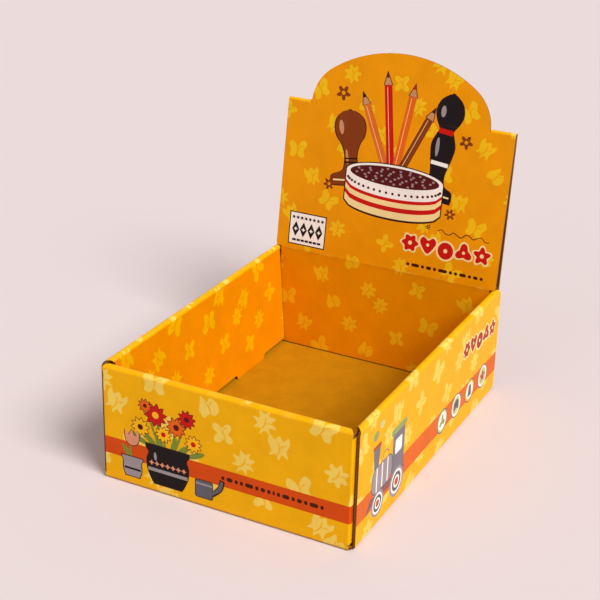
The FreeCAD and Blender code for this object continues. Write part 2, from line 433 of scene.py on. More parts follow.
# %% Base, slots and lock tabs
inner_front_setback = 11.5
inner_rear_play = 0.7
slot_play_across, slot_play_along = 0.4, 0.6
slot_depth_middle = 0.5
inner_front_y = inner_front_setback - half_depth
inner_rear_y = inner_back_face - inner_rear_play
inner_middle_y = (inner_front_y + inner_rear_y) / 2
tab_length = 42.5
tab_offset = 60.7
tab_centres = (inner_middle_y - tab_offset, inner_middle_y + tab_offset)

panels.append(box_points(-side_edge, side_edge, -end_edge, end_edge))
tab_frame = right.frame_at(side_inner_top + tab_reach - slot_depth_middle)
slot_x = abs((tab_frame @ Vector((0.0, 0.0, board / 2))).x)
slot_half_width = board / inner_lean_cos / 2 + slot_play_across
slot_half_length = tab_length / 2 + slot_play_along
for centre_y in tab_centres:
    slot = box_points(slot_x - slot_half_width, slot_x + slot_half_width,
                      centre_y - slot_half_length, centre_y + slot_half_length)
    missing += [slot, mirrored(slot)]
print("slots:", len(missing), "tab centres", [round(c, 1) for c in tab_centres])

# %% [markdown]
# ## Back wall, header and arch
# The back ply, the two shoulder strips, the header's face and the inner back ply are one long
# tongue of board. The arch is cut from the back ply and belongs to the header's face, so its
# outline is laid twice: once as a panel and once, a cutter's width larger, as a window.

# %% Back wall, header and arch
def across(chain_start, half, low, high, chain, sign=1):
    for v in strip_levels(chain, low, high):
        score_lines.append([(-half, sign * (chain_start + v)), (half, sign * (chain_start + v))])


panels.append(box_points(-fold_half, fold_half, end_edge, end_edge + back_wall_low))
across(end_edge, fold_half, 0.0, back_wall_low, back)
back_outline = [(fold_half, back_wall_low), (fold_half, back_flap_low),
                (flap_fold_line, back_flap_low), (flap_fold_line, back_flap_high),
                (header_half, back_flap_high), (header_half, shoulder_low)]
back_outline = [(x, end_edge + v) for x, v in back_outline]
panels.append(back_outline + mirrored(back_outline))
across(end_edge, header_half, back_wall_high, back_lean_low, back)
missing.append(arch_outline(arch_cut))
arch_panel = arch_outline(0.0)
shoulder_strip = box_points(arch_half + arch_cut, header_half,
                            end_edge + shoulder_low, end_edge + header_top)
both_sides(shoulder_strip)
for v in strip_levels(back, shoulder_low, header_top):
    line = [(arch_half + arch_cut, end_edge + v), (header_half, end_edge + v)]
    score_lines += [line, mirrored(line)]
header_cut = 1.5
inner_back_play = 1.0
header_outline = [(header_half, header_top), (header_half, header_low - header_cut),
                  (header_half - header_cut, header_low)]
header_outline = [(x, end_edge + v) for x, v in header_outline]
panels.append(header_outline + mirrored(header_outline))
inner_back_half = half_width - side_roll - inner_back_play
panels.append(box_points(-inner_back_half, inner_back_half,
                         end_edge + header_low, end_edge + inner_back_low))
across(end_edge, inner_back_half, header_low, inner_back_top, back)
bead_middle = end_edge + (header_low + inner_back_top) / 2
bead_steps = 4
for i in range(-bead_steps, bead_steps + 1):
    y = bead_middle + bead_half * i / bead_steps
    score_lines.append([(-inner_back_half, y), (inner_back_half, y)])
print("panels so far:", len(panels))

# %% [markdown]
# ## Front wall
# The front wall rolls over at the top and comes down inside the tray. Its roll meets the side
# rolls at the corners, so the ends are cut back at an angle, like the mitre of a picture
# frame. A straight cut would be easier to draw, but the corners would overlap.

# %% Front wall and its mitred roll
def front_point(x, v):
    return (x, -end_edge - v)


panels.append([front_point(x, v) for x, v in
               box_points(-fold_half, fold_half, 0.0, front_wall_low)])
across(end_edge, fold_half, 0.0, front_wall_low, front, sign=-1)
front_outline = [(fold_half, front_wall_low), (fold_half, front_flap_low),
                 (front_flap_line, front_flap_low), (front_flap_line, front_flap_high),
                 (fold_half, front_flap_high), (fold_half, front_wall_high)]
front_outline = [front_point(x, v) for x, v in front_outline]
panels.append(front_outline + mirrored(front_outline))
mitre_inset = 4.7
front_inner_half = fold_half - mitre_inset
mitre_slope = (fold_half - front_inner_half) / front_roll


def front_roll_half(v):
    behind_face = front.frame_at(v).translation.y + half_depth
    return fold_half - mitre_slope * behind_face


roll_levels = strip_levels(front, front_wall_high, front_inner_top)
roll_edge = [front_point(front_roll_half(v), v) for v in roll_levels]
panels.append(roll_edge + mirrored(roll_edge))
for (x, y) in roll_edge:
    score_lines.append([(-x, y), (x, y)])
panels.append([front_point(x, v) for x, v in box_points(
    -front_inner_half, front_inner_half, front_inner_top, front_inner_low)])
print("mitre runs from", round(roll_edge[0][0], 2), "to", round(roll_edge[-1][0], 2))

# %% [markdown]
# ## Corner flap outlines
# Four flaps leave the front and back walls at their sides. Their free corners are cut off, so
# that they slide between the side plies without catching.

# %% Corner flap outlines
flap_corner = 9.0
for low, high, length, line_x, flaps, sign in (
        (front_flap_low, front_flap_high, front_flap_length, front_flap_line, front_flaps, -1),
        (back_flap_low, back_flap_high, back_flap_length, flap_fold_line, back_flaps, 1)):
    y0, y1 = end_edge + low + flap_slit, end_edge + high - flap_slit
    turn_length = flaps[1].length - length
    bend = line_x + turn_length
    leaf = [(line_x, y0), (bend + length - flap_corner, y0),
            (bend + length, y0 + flap_corner), (bend + length, y1 - flap_corner),
            (bend + length - flap_corner, y1), (line_x, y1)]
    both_sides([(x, sign * y) for x, y in leaf])
    for v in strip_levels(flaps[1], 0.0, turn_length):
        line = [(line_x + v, sign * y0), (line_x + v, sign * y1)]
        score_lines += [line, mirrored(line)]
print("panels with flaps:", len(panels))

# %% [markdown]
# ## Side walls
# A side wall is an outer ply, a narrow roll and an inner ply with the two tabs. The roll gets
# narrower towards its inner edge, where the front and back plies stand in its way. The rear
# top corner is rounded, as it is on the real box.

# %% Outer side plies
side_front_setback, roll_front_setback = 3.5, 4.5
rear_radius = 3.0
side_relief = 1.0
ply_corner, tab_root, tab_tip = 2.0, 2.5, 1.0
side_front_y = side_front_setback - half_depth
roll_front_y = roll_front_setback - half_depth
roll_rear_y = half_depth - rear_radius
roll_inner_x = half_width - side_roll - board


def side_x(v):
    return side_edge + v


both_sides(box_points(side_x(0.0), side_x(side_wall_low), side_front_y, end_edge))
side_panel = [(side_x(side_wall_low), side_front_y),
              (side_x(side_wall_high - side_relief), side_front_y),
              (side_x(side_wall_high), roll_front_y), (side_x(side_wall_high), roll_rear_y)]
rear_steps = 5
for i in range(1, rear_steps + 1):
    a = math.pi / 2 * i / rear_steps
    side_panel.append((side_x(side_wall_high - rear_radius * (1 - math.cos(a))),
                       roll_rear_y + rear_radius * math.sin(a)))
side_panel.append((side_x(side_wall_low), half_depth))
both_sides(side_panel)


print("outer side plies:", len(side_panel), "points each")


# %% Side rolls
def side_roll_ends(v):
    inward = (half_width - right.frame_at(v).translation.x) / (half_width - roll_inner_x)
    return (roll_front_y + (inner_front_y - roll_front_y) * inward,
            roll_rear_y + (inner_rear_y - roll_rear_y) * inward)


side_levels = strip_levels(right, side_wall_high, side_inner_top)
near_end = [(side_x(v), side_roll_ends(v)[0]) for v in side_levels]
far_end = [(side_x(v), side_roll_ends(v)[1]) for v in side_levels]
both_sides(near_end + list(reversed(far_end)))
for near, far in zip(near_end, far_end):
    score_lines += [[near, far], mirrored([near, far])]
for v in strip_levels(right, 0.0, side_wall_low):
    line = [(side_x(v), side_front_y), (side_x(v), end_edge)]
    score_lines += [line, mirrored(line)]

print("lines across each side roll:", len(side_levels))

# %% Inner side plies with their tabs
inner_outline = [(side_x(side_inner_top), inner_front_y),
                 (side_x(side_inner_low), inner_front_y)]
inner_radii = [0.0, ply_corner]
for centre_y in tab_centres:
    inner_outline += [(side_x(side_inner_low), centre_y - tab_length / 2),
                      (side_x(side_tab_low), centre_y - tab_length / 2),
                      (side_x(side_tab_low), centre_y + tab_length / 2),
                      (side_x(side_inner_low), centre_y + tab_length / 2)]
    inner_radii += [tab_root, tab_tip, tab_tip, tab_root]
inner_outline += [(side_x(side_inner_low), inner_rear_y), (side_x(side_inner_top), inner_rear_y)]
inner_radii += [ply_corner, 0.0]
both_sides(rounded(inner_outline, inner_radii))
print("panels in all:", len(panels) + 1, "score lines:", len(score_lines))

# %% [markdown]
# ## Creases that show
# Ink cracks a little and the paper fibres lift where board is folded. A number stored on each
# point of the mesh says how close it is to a crease, and the ink and the bare liner both read
# it. So each crease also gets a faint line on either side, where the number falls to zero.

# %% Crease closeness
crease_reach = 1.6
fold_runs = {id(chain): [(run[0], run[1]) for run in chain.runs if run[3] != 0.0]
             for chain in (back, front, right, left)}
for low, high in fold_runs[id(back)]:
    for v in (low - crease_reach, high + crease_reach):
        if v > 0:
            y = end_edge + v
            score_lines.append([(-inner_back_half, y), (inner_back_half, y)])
for v in (front_wall_low + crease_reach, front_wall_high - crease_reach,
          front_inner_top + crease_reach):
    score_lines.append([front_point(-front_inner_half, v), front_point(front_inner_half, v)])
for v in (side_wall_low + crease_reach, side_wall_high - crease_reach,
          side_inner_top + crease_reach):
    line = [(side_x(v), inner_front_y), (side_x(v), inner_rear_y)]
    score_lines += [line, mirrored(line)]
x, y = side_edge - crease_reach, end_edge - crease_reach
score_lines += [[(-x, side * y), (x, side * y)] for side in (1, -1)]
score_lines += [[(side * x, -y), (side * x, y)] for side in (1, -1)]


def crease_share(x, y):
    if y > 0 and inside_arch(x, y):
        return 0.0
    if abs(y) <= end_edge and abs(x) <= side_edge:
        return max(0.0, 1 - min(end_edge - abs(y), side_edge - abs(x)) / crease_reach)
    if abs(x) > side_edge and abs(y) <= half_depth + NEAR:
        v, runs = abs(x) - side_edge, fold_runs[id(right)]
    else:
        v, runs = abs(y) - end_edge, fold_runs[id(back if y > 0 else front)]
    gap = min(max(low - v, v - high, 0.0) for low, high in runs)
    return max(0.0, 1 - gap / crease_reach)


print("folds on the back chain:", len(fold_runs[id(back)]))

# %% [markdown]
# ## Print layers
# The print is laid down the way a press does it: flat shapes of ink, each over the last. A
# shape is just a closed outline on the blank and the name of its ink. Painting an image would
# also work, but outlines stay sharp at any distance and need no picture file.

# %% A drawing place on the blank
print_layers = []


class Place:
    def __init__(self, x, y, turn=0.0, scale=1.0):
        self.x, self.y, self.turn, self.scale = x, y, math.radians(turn), scale

    def to_blank(self, point):
        right_way, up_way = point[0] * self.scale, point[1] * self.scale
        c, s = math.cos(self.turn), math.sin(self.turn)
        return (self.x + right_way * c + up_way * s, self.y + right_way * s - up_way * c)

    def moved(self, right_way, up_way, turn=0.0, scale=1.0):
        x, y = self.to_blank((right_way, up_way))
        return Place(x, y, math.degrees(self.turn) - turn, self.scale * scale)


def lay(ink, place, outline):
    print_layers.append((ink, [place.to_blank(p) for p in outline]))


print("drawing places ready")

# %% [markdown]
# ## Drawing tools
# The pictures are built from a few pen strokes: a disc, an oval, a smooth closed blob, a
# ribbon with width, and a rosette whose edge waves in and out. A real artist's plate is cut
# the same way, one flat colour at a time.

# %% Oval, disc and blob
def oval(x, y, rx, ry, tilt=0.0, steps=26):
    c, s = math.cos(math.radians(tilt)), math.sin(math.radians(tilt))
    ring = []
    for i in range(steps):
        a = 2 * math.pi * i / steps
        px, py = rx * math.cos(a), ry * math.sin(a)
        ring.append((x + px * c - py * s, y + px * s + py * c))
    return ring


def disc(x, y, r, steps=24):
    return oval(x, y, r, r, 0.0, steps)


def curve_through(a, b, c, d, t):
    return tuple(0.5 * (2 * q + (r - p) * t + (2 * p - 5 * q + 4 * r - s) * t * t
                        + (3 * q - p - 3 * r + s) * t ** 3)
                 for p, q, r, s in zip(a, b, c, d))


def blob(knots, steps=5):
    count = len(knots)
    return [curve_through(knots[i - 1], knots[i], knots[(i + 1) % count],
                          knots[(i + 2) % count], k / steps)
            for i in range(count) for k in range(steps)]


print("an oval has", len(oval(0, 0, 1, 1)), "points")


# %% Ribbon, rosette and a grown outline
def ribbon(knots, width, taper=0.35, steps=5):
    path = []
    last = len(knots) - 1
    for i in range(last):
        a, d = knots[max(i - 1, 0)], knots[min(i + 2, last)]
        path += [curve_through(a, knots[i], knots[i + 1], d, k / steps) for k in range(steps)]
    path.append(knots[-1])
    left_side, right_side = [], []
    for i, (x, y) in enumerate(path):
        ahead, behind = path[min(i + 1, len(path) - 1)], path[max(i - 1, 0)]
        way = Vector((ahead[0] - behind[0], ahead[1] - behind[1])).normalized()
        along = i / (len(path) - 1)
        half = width / 2 * (taper + (1 - taper) * math.sin(math.pi * min(max(along, 0.12), 0.88)))
        left_side.append((x - way.y * half, y + way.x * half))
        right_side.append((x + way.y * half, y - way.x * half))
    return left_side + right_side[::-1]


def rosette(x, y, r_low, r_high, waves, tilt=0.0, steps=6, sharp=1.0):
    ring = []
    for i in range(waves * steps):
        a = 2 * math.pi * i / (waves * steps)
        lift = (0.5 + 0.5 * math.cos(waves * a)) ** sharp
        r = r_low + (r_high - r_low) * lift
        ring.append((x + r * math.cos(a + math.radians(tilt)),
                     y + r * math.sin(a + math.radians(tilt))))
    return ring


def grown(ring, reach):
    cx = sum(p[0] for p in ring) / len(ring)
    cy = sum(p[1] for p in ring) / len(ring)
    made = []
    for x, y in ring:
        away = Vector((x - cx, y - cy))
        away = away.normalized() * reach
        made.append((x + away.x, y + away.y))
    return made


print("a rosette of five petals has", len(rosette(0, 0, 0.5, 1, 5)), "points")

# %% [markdown]
# ## Where the pictures go
# Each face of the box gets its own drawing place with millimetres from a handy corner: across
# and up as somebody sees that face. The print runs over the blank as one sheet, so a place is
# only a shift and a turn of the blank.

# %% Drawing places for each face
header_face = Place(0.0, end_edge + header_low, 0)
front_face = Place(0.0, -end_edge - front_wall_low + fold_outside, 0)
right_face = Place(side_edge + side_wall_low - fold_outside, 0.0, 90)
left_face = Place(-side_edge - side_wall_low + fold_outside, 0.0, -90)
back_face = Place(0.0, end_edge + back_wall_low - fold_outside, 180)


def print_zone(x, y):
    if abs(y) <= end_edge and abs(x) <= side_edge:
        return "base"
    if abs(x) > side_edge and abs(y) <= half_depth + NEAR:
        return "inner_sides" if abs(x) - side_edge > side_inner_top else "walls"
    v = abs(y) - end_edge
    if y < 0:
        return "inside" if v > front_inner_top else "walls"
    if v > header_low + inner_back_top:
        return "inside"
    if v >= header_top or inside_arch(x, y):
        return "header"
    return "walls"


print("zones:", [print_zone(*spot) for spot in ((0, 0), (0, -200), (0, 300), (170, 0))])

# %% [markdown]
# ## The scattered ground pattern
# Pale oak leaves, daisies, butterflies, clovers, drops and tulips lie in staggered rows over
# the whole sheet and run on across the folds. Every motif is tilted by a fixed rule, so nothing
# is random and two builds print alike. A few thin veins let the orange through, as on a
# one-colour silhouette print.

# %% Six garden motifs
def oak_leaf():
    return blob([(0, -8), (2, -4), (6, -5), (4, -1), (8, 1), (4, 3), (5, 7), (1, 6), (0, 9),
                 (-2, 6), (-6, 6), (-4, 2), (-8, 0), (-4, -2), (-5, -6), (-1, -4)], 3)


def butterfly():
    return blob([(0, -4), (3, -7), (7, -6), (6, -1), (9, 4), (6, 8), (2, 5), (0, 2), (-2, 5),
                 (-6, 7), (-8, 3), (-6, -1), (-7, -6), (-3, -7)], 3)


def drop_pair():
    return blob([(-1, 8), (1, 3), (4, 5), (7, 1), (6, -4), (2, -6), (-2, -4), (-6, -5), (-7, 0),
                 (-4, 4)], 4)


def tulip():
    return blob([(0, -8), (2, -4), (6, -6), (5, -1), (7, 4), (6, 8), (3, 5), (0, 8), (-3, 5),
                 (-6, 8), (-7, 3), (-5, -2), (-6, -6), (-2, -4)], 3)


def clover():
    return rosette(0, 0, 3.2, 8.2, 4, 20, 7, 0.7)


def daisy():
    return rosette(0, 0, 4.4, 8.0, 7, 0, 5, 0.8)


print("motif outlines:", [len(kind()) for kind in (oak_leaf, butterfly, drop_pair, tulip)])

# %% Scatter them over the sheet
garden = [oak_leaf, daisy, butterfly, clover, drop_pair, tulip]
motif_pitch_across, motif_pitch_up = 41.0, 20.5
row_shift, row_wave, motif_tilt = 0.37, 5.0, 34.0
motif_scales = {"walls": 1.12, "header": 0.92, "inside": 1.04, "inner_sides": 1.04}
motif_count = 0
for row in range(-15, 28):
    for column in range(-6, 7):
        x = (column + row_shift * (row % 3)) * motif_pitch_across
        y = row * motif_pitch_up + row_wave * math.sin(2.1 * column + row)
        zone = print_zone(x, y)
        if zone == "base":
            continue
        kind = garden[(column * 2 + row * 3) % len(garden)]
        tilt = motif_tilt * math.sin(3.7 * row + 1.9 * column)
        if abs(x) > side_edge and abs(y) < half_depth:
            tilt += 90.0 if x > 0 else -90.0
        spot = Place(x, y, tilt, motif_scales[zone])
        lay("motif", spot, kind())
        lay("flood", spot, ribbon([(-1, -5), (0.5, -1), (-0.5, 4)], 0.9, steps=3))
        lay("flood", spot, ribbon([(0.5, 0), (3, 2.2), (5, 2.5)], 0.7, steps=2))
        motif_count += 1
print("motifs:", motif_count)

# %% [markdown]
# ## The stripe
# One red-orange band runs round the foot of all four walls. It passes behind the pictures, so
# it goes down before them.

# %% Stripe round the walls
front_stripe = (20.0, 33.0)
side_stripe = (17.0, 33.0)
stripe_overlap = 4
# The side walls take a paler tone of the same band: painted sheen.
for ink, place, reach, (low, high) in (("stripe_orange", front_face, fold_half, front_stripe),
                                       ("stripe_orange", back_face, header_half, front_stripe),
                                       ("stripe_side", right_face, half_depth, side_stripe),
                                       ("stripe_side", left_face, half_depth, side_stripe)):
    end = reach + stripe_overlap
    lay(ink, place, box_points(-end, end, low, high))
print("stripe is", front_stripe[1] - front_stripe[0], "mm high")

# %% [markdown]
# ## The header picture
# Two turned wooden stamps and a fan of pencils stand behind a round ink pad. Turned wood is
# drawn from its lathe profile: a list of heights and radii, mirrored about the axis. Each form
# is a dark key shape with its own colour laid slightly smaller on top, so every part keeps an
# even outline.

# %% Outlined parts and lathe profiles
def outlined(ink, place, ring, line=0.8, key="key_line"):
    lay(key, place, grown(ring, line))
    lay(ink, place, ring)


def lathe_profile(place, ink, profile, line=0.8, key="key_line"):
    def ring(reach):
        edge = [(radius + reach, height) for height, radius in profile]
        edge[0] = (edge[0][0], edge[0][1] - reach)
        edge[-1] = (edge[-1][0], edge[-1][1] + reach)
        return edge + [(-x, y) for x, y in reversed(edge)]

    lay(key, place, ring(line))
    lay(ink, place, ring(0.0))


def smooth_profile(knots, steps=4):
    made = []
    last = len(knots) - 1
    for i in range(last):
        before, after = knots[max(i - 1, 0)], knots[min(i + 2, last)]
        made += [curve_through(before, knots[i], knots[i + 1], after, k / steps)
                 for k in range(steps)]
    return made + [knots[-1]]


picture = header_face.moved(0.0, 45.0)
print("picture centre on the blank:", [round(c, 1) for c in picture.to_blank((0, 0))])

# %% Pencils behind the stamps
def pencil(place, length, body, tip):
    outlined(body, place, box_points(-3.1, 3.1, 0, length), 0.7)
    lay("key_line", place, [(-3.9, length - 0.2), (3.9, length - 0.2), (0, length + 10.8)])
    lay("pale_wood", place, [(-3.1, length), (3.1, length), (0, length + 9.2)])
    lay(tip, place, [(-1.2, length + 5.4), (1.2, length + 5.4), (0, length + 9.2)])
    lay("cream", place, box_points(-0.9, 0.5, 1, length - 1.5))
    lay(body, place, box_points(-0.5, 0.5, 1, length - 1.5))


for lean, length, body, tip in ((-24, 66, "terracotta", "deep_brown"),
                                (-8, 78, "red", "maroon"), (8, 72, "flower_orange", "red"),
                                (24, 62, "wood_brown", "deep_brown")):
    pencil(picture.moved(0.0, 18.0, -lean), length, body, tip)
print("pencils drawn")

# %% Two turned stamps
squat_stamp = smooth_profile([(0, 17), (3, 17.4), (8, 16), (11, 8), (15, 5.6), (24, 5.0),
                              (32, 7.5), (38, 11.4), (45, 12.8), (52, 11), (57, 5), (58, 0.4)])
tall_stamp = smooth_profile([(0, 14), (4, 14.4), (9, 13), (12, 7), (20, 5.4), (32, 7.8), (42, 9.0),
                             (50, 6.4), (54, 5.2), (60, 8.6), (67, 10.6), (75, 8.4), (80, 3),
                             (81, 0.4)])
brown_stamp = picture.moved(-33.0, 14.0, 7.0)
black_stamp = picture.moved(34.0, 15.0, -6.0)
lathe_profile(brown_stamp, "wood_brown", squat_stamp)
lathe_profile(black_stamp, "ink_black", tall_stamp)
for shine, place, x, y, rx, ry in (("pale_wood", brown_stamp, -7.4, 45, 2.0, 5.6),
                                   ("pale_wood", brown_stamp, -3.2, 22, 1.1, 6.0),
                                   ("stone_grey", black_stamp, -5.4, 67, 2.0, 4.4),
                                   ("stone_grey", black_stamp, -4.4, 40, 1.5, 7.4)):
    lay(shine, place, oval(x, y, rx, ry, 4, 16))
for place, half, low in ((brown_stamp, 15.6, 3.2), (black_stamp, 13.0, 3.6)):
    lay("cream", place, box_points(-half, half, low, low + 1.3))
lay("deep_brown", brown_stamp, box_points(-5.4, 5.4, 17.0, 18.6))
lay("deep_brown", brown_stamp, box_points(-5.4, 5.4, 20.2, 21.4))
lay("red", black_stamp, box_points(-5.7, 5.7, 50.6, 54.6))
lay("white", black_stamp, box_points(-7.0, 7.0, 26.4, 29.4))
print("stamps drawn")

# %% The round ink pad
pad = picture.moved(2.0, 0.0)
pad_half, pad_sag = 40.0, 9.0


def pad_band(ink, low, high, half=pad_half, sag=pad_sag):
    across_pad = [-half + 2 * half * i / 18 for i in range(19)]

    def hang(x, y):
        return (x, y - sag * math.sqrt(max(0.0, 1 - (x / half) ** 2)))

    lay(ink, pad, [hang(x, low) for x in across_pad] + [hang(x, high) for x in across_pad[::-1]])


pad_band("key_line", 2.2, 27.0, pad_half + 0.9, pad_sag + 0.8)
lay("key_line", pad, oval(0, 26.4, pad_half + 0.9, pad_sag + 0.9, 0, 40))
for ink, low, high in (("cream", 3.0, 8.4), ("red", 8.4, 12.0), ("cream", 12.0, 16.0),
                       ("red", 16.0, 18.6), ("white", 18.6, 26.4)):
    pad_band(ink, low, high)
for i in range(21):
    a = math.pi * (1.06 + 0.88 * i / 20)
    lay("maroon", pad, disc((pad_half - 1.0) * math.cos(a), 22.3 + pad_sag * math.sin(a), 1.1, 10))
lay("white", pad, oval(0, 26.4, pad_half, pad_sag, 0, 40))
lay("maroon", pad, oval(0, 26.2, pad_half - 3.0, pad_sag - 1.5, 0, 36))
for i in range(46):
    a, out = 2.4 * i, math.sqrt((i + 0.5) / 46)
    lay("dot_grey", pad, oval((pad_half - 5.5) * out * math.cos(a),
                              26.2 + (pad_sag - 2.8) * out * math.sin(a), 1.15, 0.8, 0, 9))
print("ink pad drawn; layers so far:", len(print_layers))

# %% Stamp marks around the picture
stamp_marks = ((-47, 84, 6.2, 5), (50, 6, 4.6, 6), (-52, 12, 5.0, 6), (56, 62, 5.6, 5))
for x, y, size, points in stamp_marks:
    lay("wood_brown", picture, rosette(x, y, size * 0.45, size, points, 12 * points, 6, 0.8))
    lay("flood", picture, disc(x, y, size * 0.26, 12))
print("stamp marks:", len(stamp_marks))

# %% [markdown]
# ## Panels of small print
# Where a printer often sets words, this carton has plain shapes: a framed tile of diamonds, a
# row of rounded counters with a pale outline, a wavy line, and rows of dots and dashes. They
# keep the weight and colour of small print without being any.

# %% Diamond tile
tile = header_face.moved(-67, 16.5)
lay("ink_black", tile, box_points(-16.2, 16.2, -13.4, 13.4))
lay("white", tile, box_points(-15.3, 15.3, -12.5, 12.5))
for i in range(4):
    x = -10.2 + 6.8 * i
    lay("ink_black", tile, [(x, -6.8), (x + 3.2, -0.6), (x, 5.6), (x - 3.2, -0.6)])
    lay("white", tile, rosette(x, -0.6, 0.7, 1.7, 4, 0, 4))
for i in range(8):
    lay("ink_black", tile, rosette(-12.6 + 3.6 * i, 8.8, 0.7, 1.7, 5, 18 * i, 3))
lay("ink_black", tile, box_points(-12.6, 12.6, -10.4, -8.6))
for i in range(6):
    lay("white", tile, box_points(-9.2 + 3.6 * i, -8.6 + 3.6 * i, -10.4, -8.6))
print("tile drawn; layers so far:", len(print_layers))


# %% Counters and dashes
def counter_row(place, step, size, ink="red"):
    heart = blob([(0, -1.1), (0.75, -0.3), (1.05, 0.45), (0.6, 0.95), (0, 0.55), (-0.6, 0.95),
                  (-1.05, 0.45), (-0.75, -0.3)], 4)
    shapes = [rosette(0, 0, 0.78, 1.12, 6, 0, 5), heart, oval(0, 0, 1.0, 1.05, 0, 22),
              rosette(0, 0, 0.6, 1.16, 3, 90, 8), rosette(0, 0, 0.66, 1.15, 5, 18, 6)]
    for pass_ink, reach in (("cream", 1.5), (ink, 0.0)):
        for i, shape in enumerate(shapes):
            spot = place.moved((i - 2) * step, 1.1 * math.sin(2.2 * i))
            lay(pass_ink, spot, grown([(x * size, y * size) for x, y in shape], reach))
    for i in range(len(shapes)):
        spot = place.moved((i - 2) * step, 1.1 * math.sin(2.2 * i))
        lay("cream", spot, disc(0, 0, (0.26 if i % 2 == 0 else 0.2) * size, 10))


def dash_row(place, lengths, height, gap, ink="dark_print"):
    total = sum(lengths) + gap * (len(lengths) - 1)
    x = -total / 2
    for length in lengths:
        round_end = min(length, height) / 2 - 0.05
        lay(ink, place, rounded(box_points(x, x + length, -height / 2, height / 2), round_end, 3))
        x += length + gap


counter_row(header_face.moved(50, 23.5), 14.6, 6.3)
dash_row(header_face.moved(51, 6.6), [2.6, 6.4, 2.6, 4.2, 2.6, 7.2, 2.6, 2.6, 5.4, 2.6, 3.6, 2.6],
         2.6, 1.6)
scroll = [(-22 + 3.2 * i, 1.5 * math.sin(1.9 * i) + 0.4 * math.cos(0.7 * i)) for i in range(14)]
lay("dark_print", header_face.moved(64, 36.5), ribbon(scroll, 0.8, 0.6, 4))
small_flower = header_face.moved(34, 38.5)
lay("dark_print", small_flower, rosette(0, 0, 0.9, 2.4, 6, 0, 5))
lay("flood", small_flower, disc(0, 0, 0.6, 10))
dash_row(front_face.moved(36.5, 26.4), [2.4, 4.6, 2.4, 2.4, 6.0, 2.4, 3.4, 2.4, 1.6, 2.4, 5.2, 2.4,
                                        3.6, 2.4, 6.2, 2.4], 3.0, 1.5)
print("layers so far:", len(print_layers))

# %% [markdown]
# ## The front picture
# Two glazed pots stand on the stripe with a bunch of garden flowers. The flowers are rosettes:
# one wavy ring for the petals, a smaller one for the eye. Stems and leaves go down first, the
# flowers next and the pots last, in the order that hides what is behind.

# %% Stems and flowers on the front wall
garden_place = front_face.moved(-42.0, 7.0)
bunch = [(-21, 40, 7.2, "flower_yellow", "maroon"), (-9, 52, 8.6, "red", "flower_yellow"),
         (7, 47, 7.4, "flower_orange", "maroon"), (20, 38, 6.4, "flower_yellow", "red"),
         (-3, 39, 6.2, "flower_yellow", "red"), (15, 55, 6.6, "red", "maroon"),
         (-17, 57, 5.0, "flower_orange", "maroon")]
for x, y, size, petal, eye in bunch:
    stem = [(0.1 * x, 18), (0.55 * x, 0.5 * y + 8), (x, y)]
    lay("leaf_green", garden_place, ribbon(stem, 1.8, 0.8, 4))
for x, y, tilt in ((-14, 33, 52), (12, 31, -48), (-7, 33, 14), (5, 32, -16), (22, 30, -66),
                   (-22, 31, 68)):
    lay("leaf_green", garden_place, oval(x, y, 2.2, 7.2, tilt, 14))
for x, y, size, petal, eye in bunch:
    lay("maroon", garden_place, rosette(x, y, size * 0.66 + 0.6, size + 0.7, 10, 9, 4))
    lay(petal, garden_place, rosette(x, y, size * 0.62, size, 10, 9, 4))
    lay(eye, garden_place, disc(x, y, size * 0.3, 14))
print("flowers:", len(bunch))

# %% The big pot, the small pot and the can
big_pot = smooth_profile([(0, 10.5), (2, 12), (10, 15.4), (18, 15.8), (23, 14.2), (26, 16.2),
                          (29, 16.4)], 3)
small_pot = smooth_profile([(0, 5.4), (5, 7.2), (11, 7.0), (13, 8.0), (15, 8.2)], 3)
lathe_profile(garden_place, "ink_black", big_pot)
lay("stone_grey", garden_place, box_points(-15.4, 15.4, 9.0, 11.6))
for i in range(7):
    lay("stone_pink", garden_place, rosette(-12.6 + 4.2 * i, 15.4, 0.9, 1.9, 4, 0, 5))
lay("stone_grey", garden_place, oval(-9.6, 20.6, 1.1, 3.2, 6, 12))
little_place = garden_place.moved(-28.0, 0.0)
lay("leaf_green", little_place, ribbon([(0, 12), (-1.5, 20), (0.5, 27)], 1.6, 0.8, 4))
lay("leaf_green", little_place, oval(-4.4, 19, 1.8, 5.6, 40, 12))
outlined("stone_pink", little_place, blob([(0, 24), (5, 27), (5.6, 35), (2.6, 31.5), (0, 36),
                                          (-2.6, 31.5), (-5.4, 35), (-4.6, 27)], 3), 0.6, "maroon")
lathe_profile(little_place, "stone_grey", small_pot, 0.7)
lay("ink_black", little_place, box_points(-6.6, 6.6, 5.0, 6.6))
can_place = garden_place.moved(28.0, 0.0)
lay("key_line", can_place, ribbon([(6, 4), (12, 10), (14, 17)], 4.2, 0.9, 4))
outlined("slate", can_place, rounded(box_points(-6.4, 6.4, 0, 13), 1.6, 3), 0.7)
lay("slate", can_place, ribbon([(5, 4), (11.6, 9.6), (13.6, 16)], 2.6, 0.9, 4))
lay("stone_grey", can_place, box_points(-6.4, 6.4, 9.4, 10.8))
print("front picture done; layers:", len(print_layers))

# %% [markdown]
# ## The side pictures
# A wooden toy engine rolls along the stripe, followed by four round tokens. Both sides carry
# the same picture, each drawn on its own place, so neither is a mirror image of the other.

# %% Toy engine
def spoked_wheel(place, x, y, r):
    lay("stone_grey", place, disc(x, y, r, 30))
    lay("white", place, disc(x, y, r * 0.8, 26))
    lay("slate", place, disc(x, y, r * 0.64, 24))
    lay("white", place, disc(x, y, r * 0.42, 20))
    lay("brick", place, disc(x, y, r * 0.27, 16))


def smooth_dome(x, y, half, rise):
    return [(x + half * math.cos(math.pi * i / 12), y + rise * math.sin(math.pi * i / 12))
            for i in range(13)]


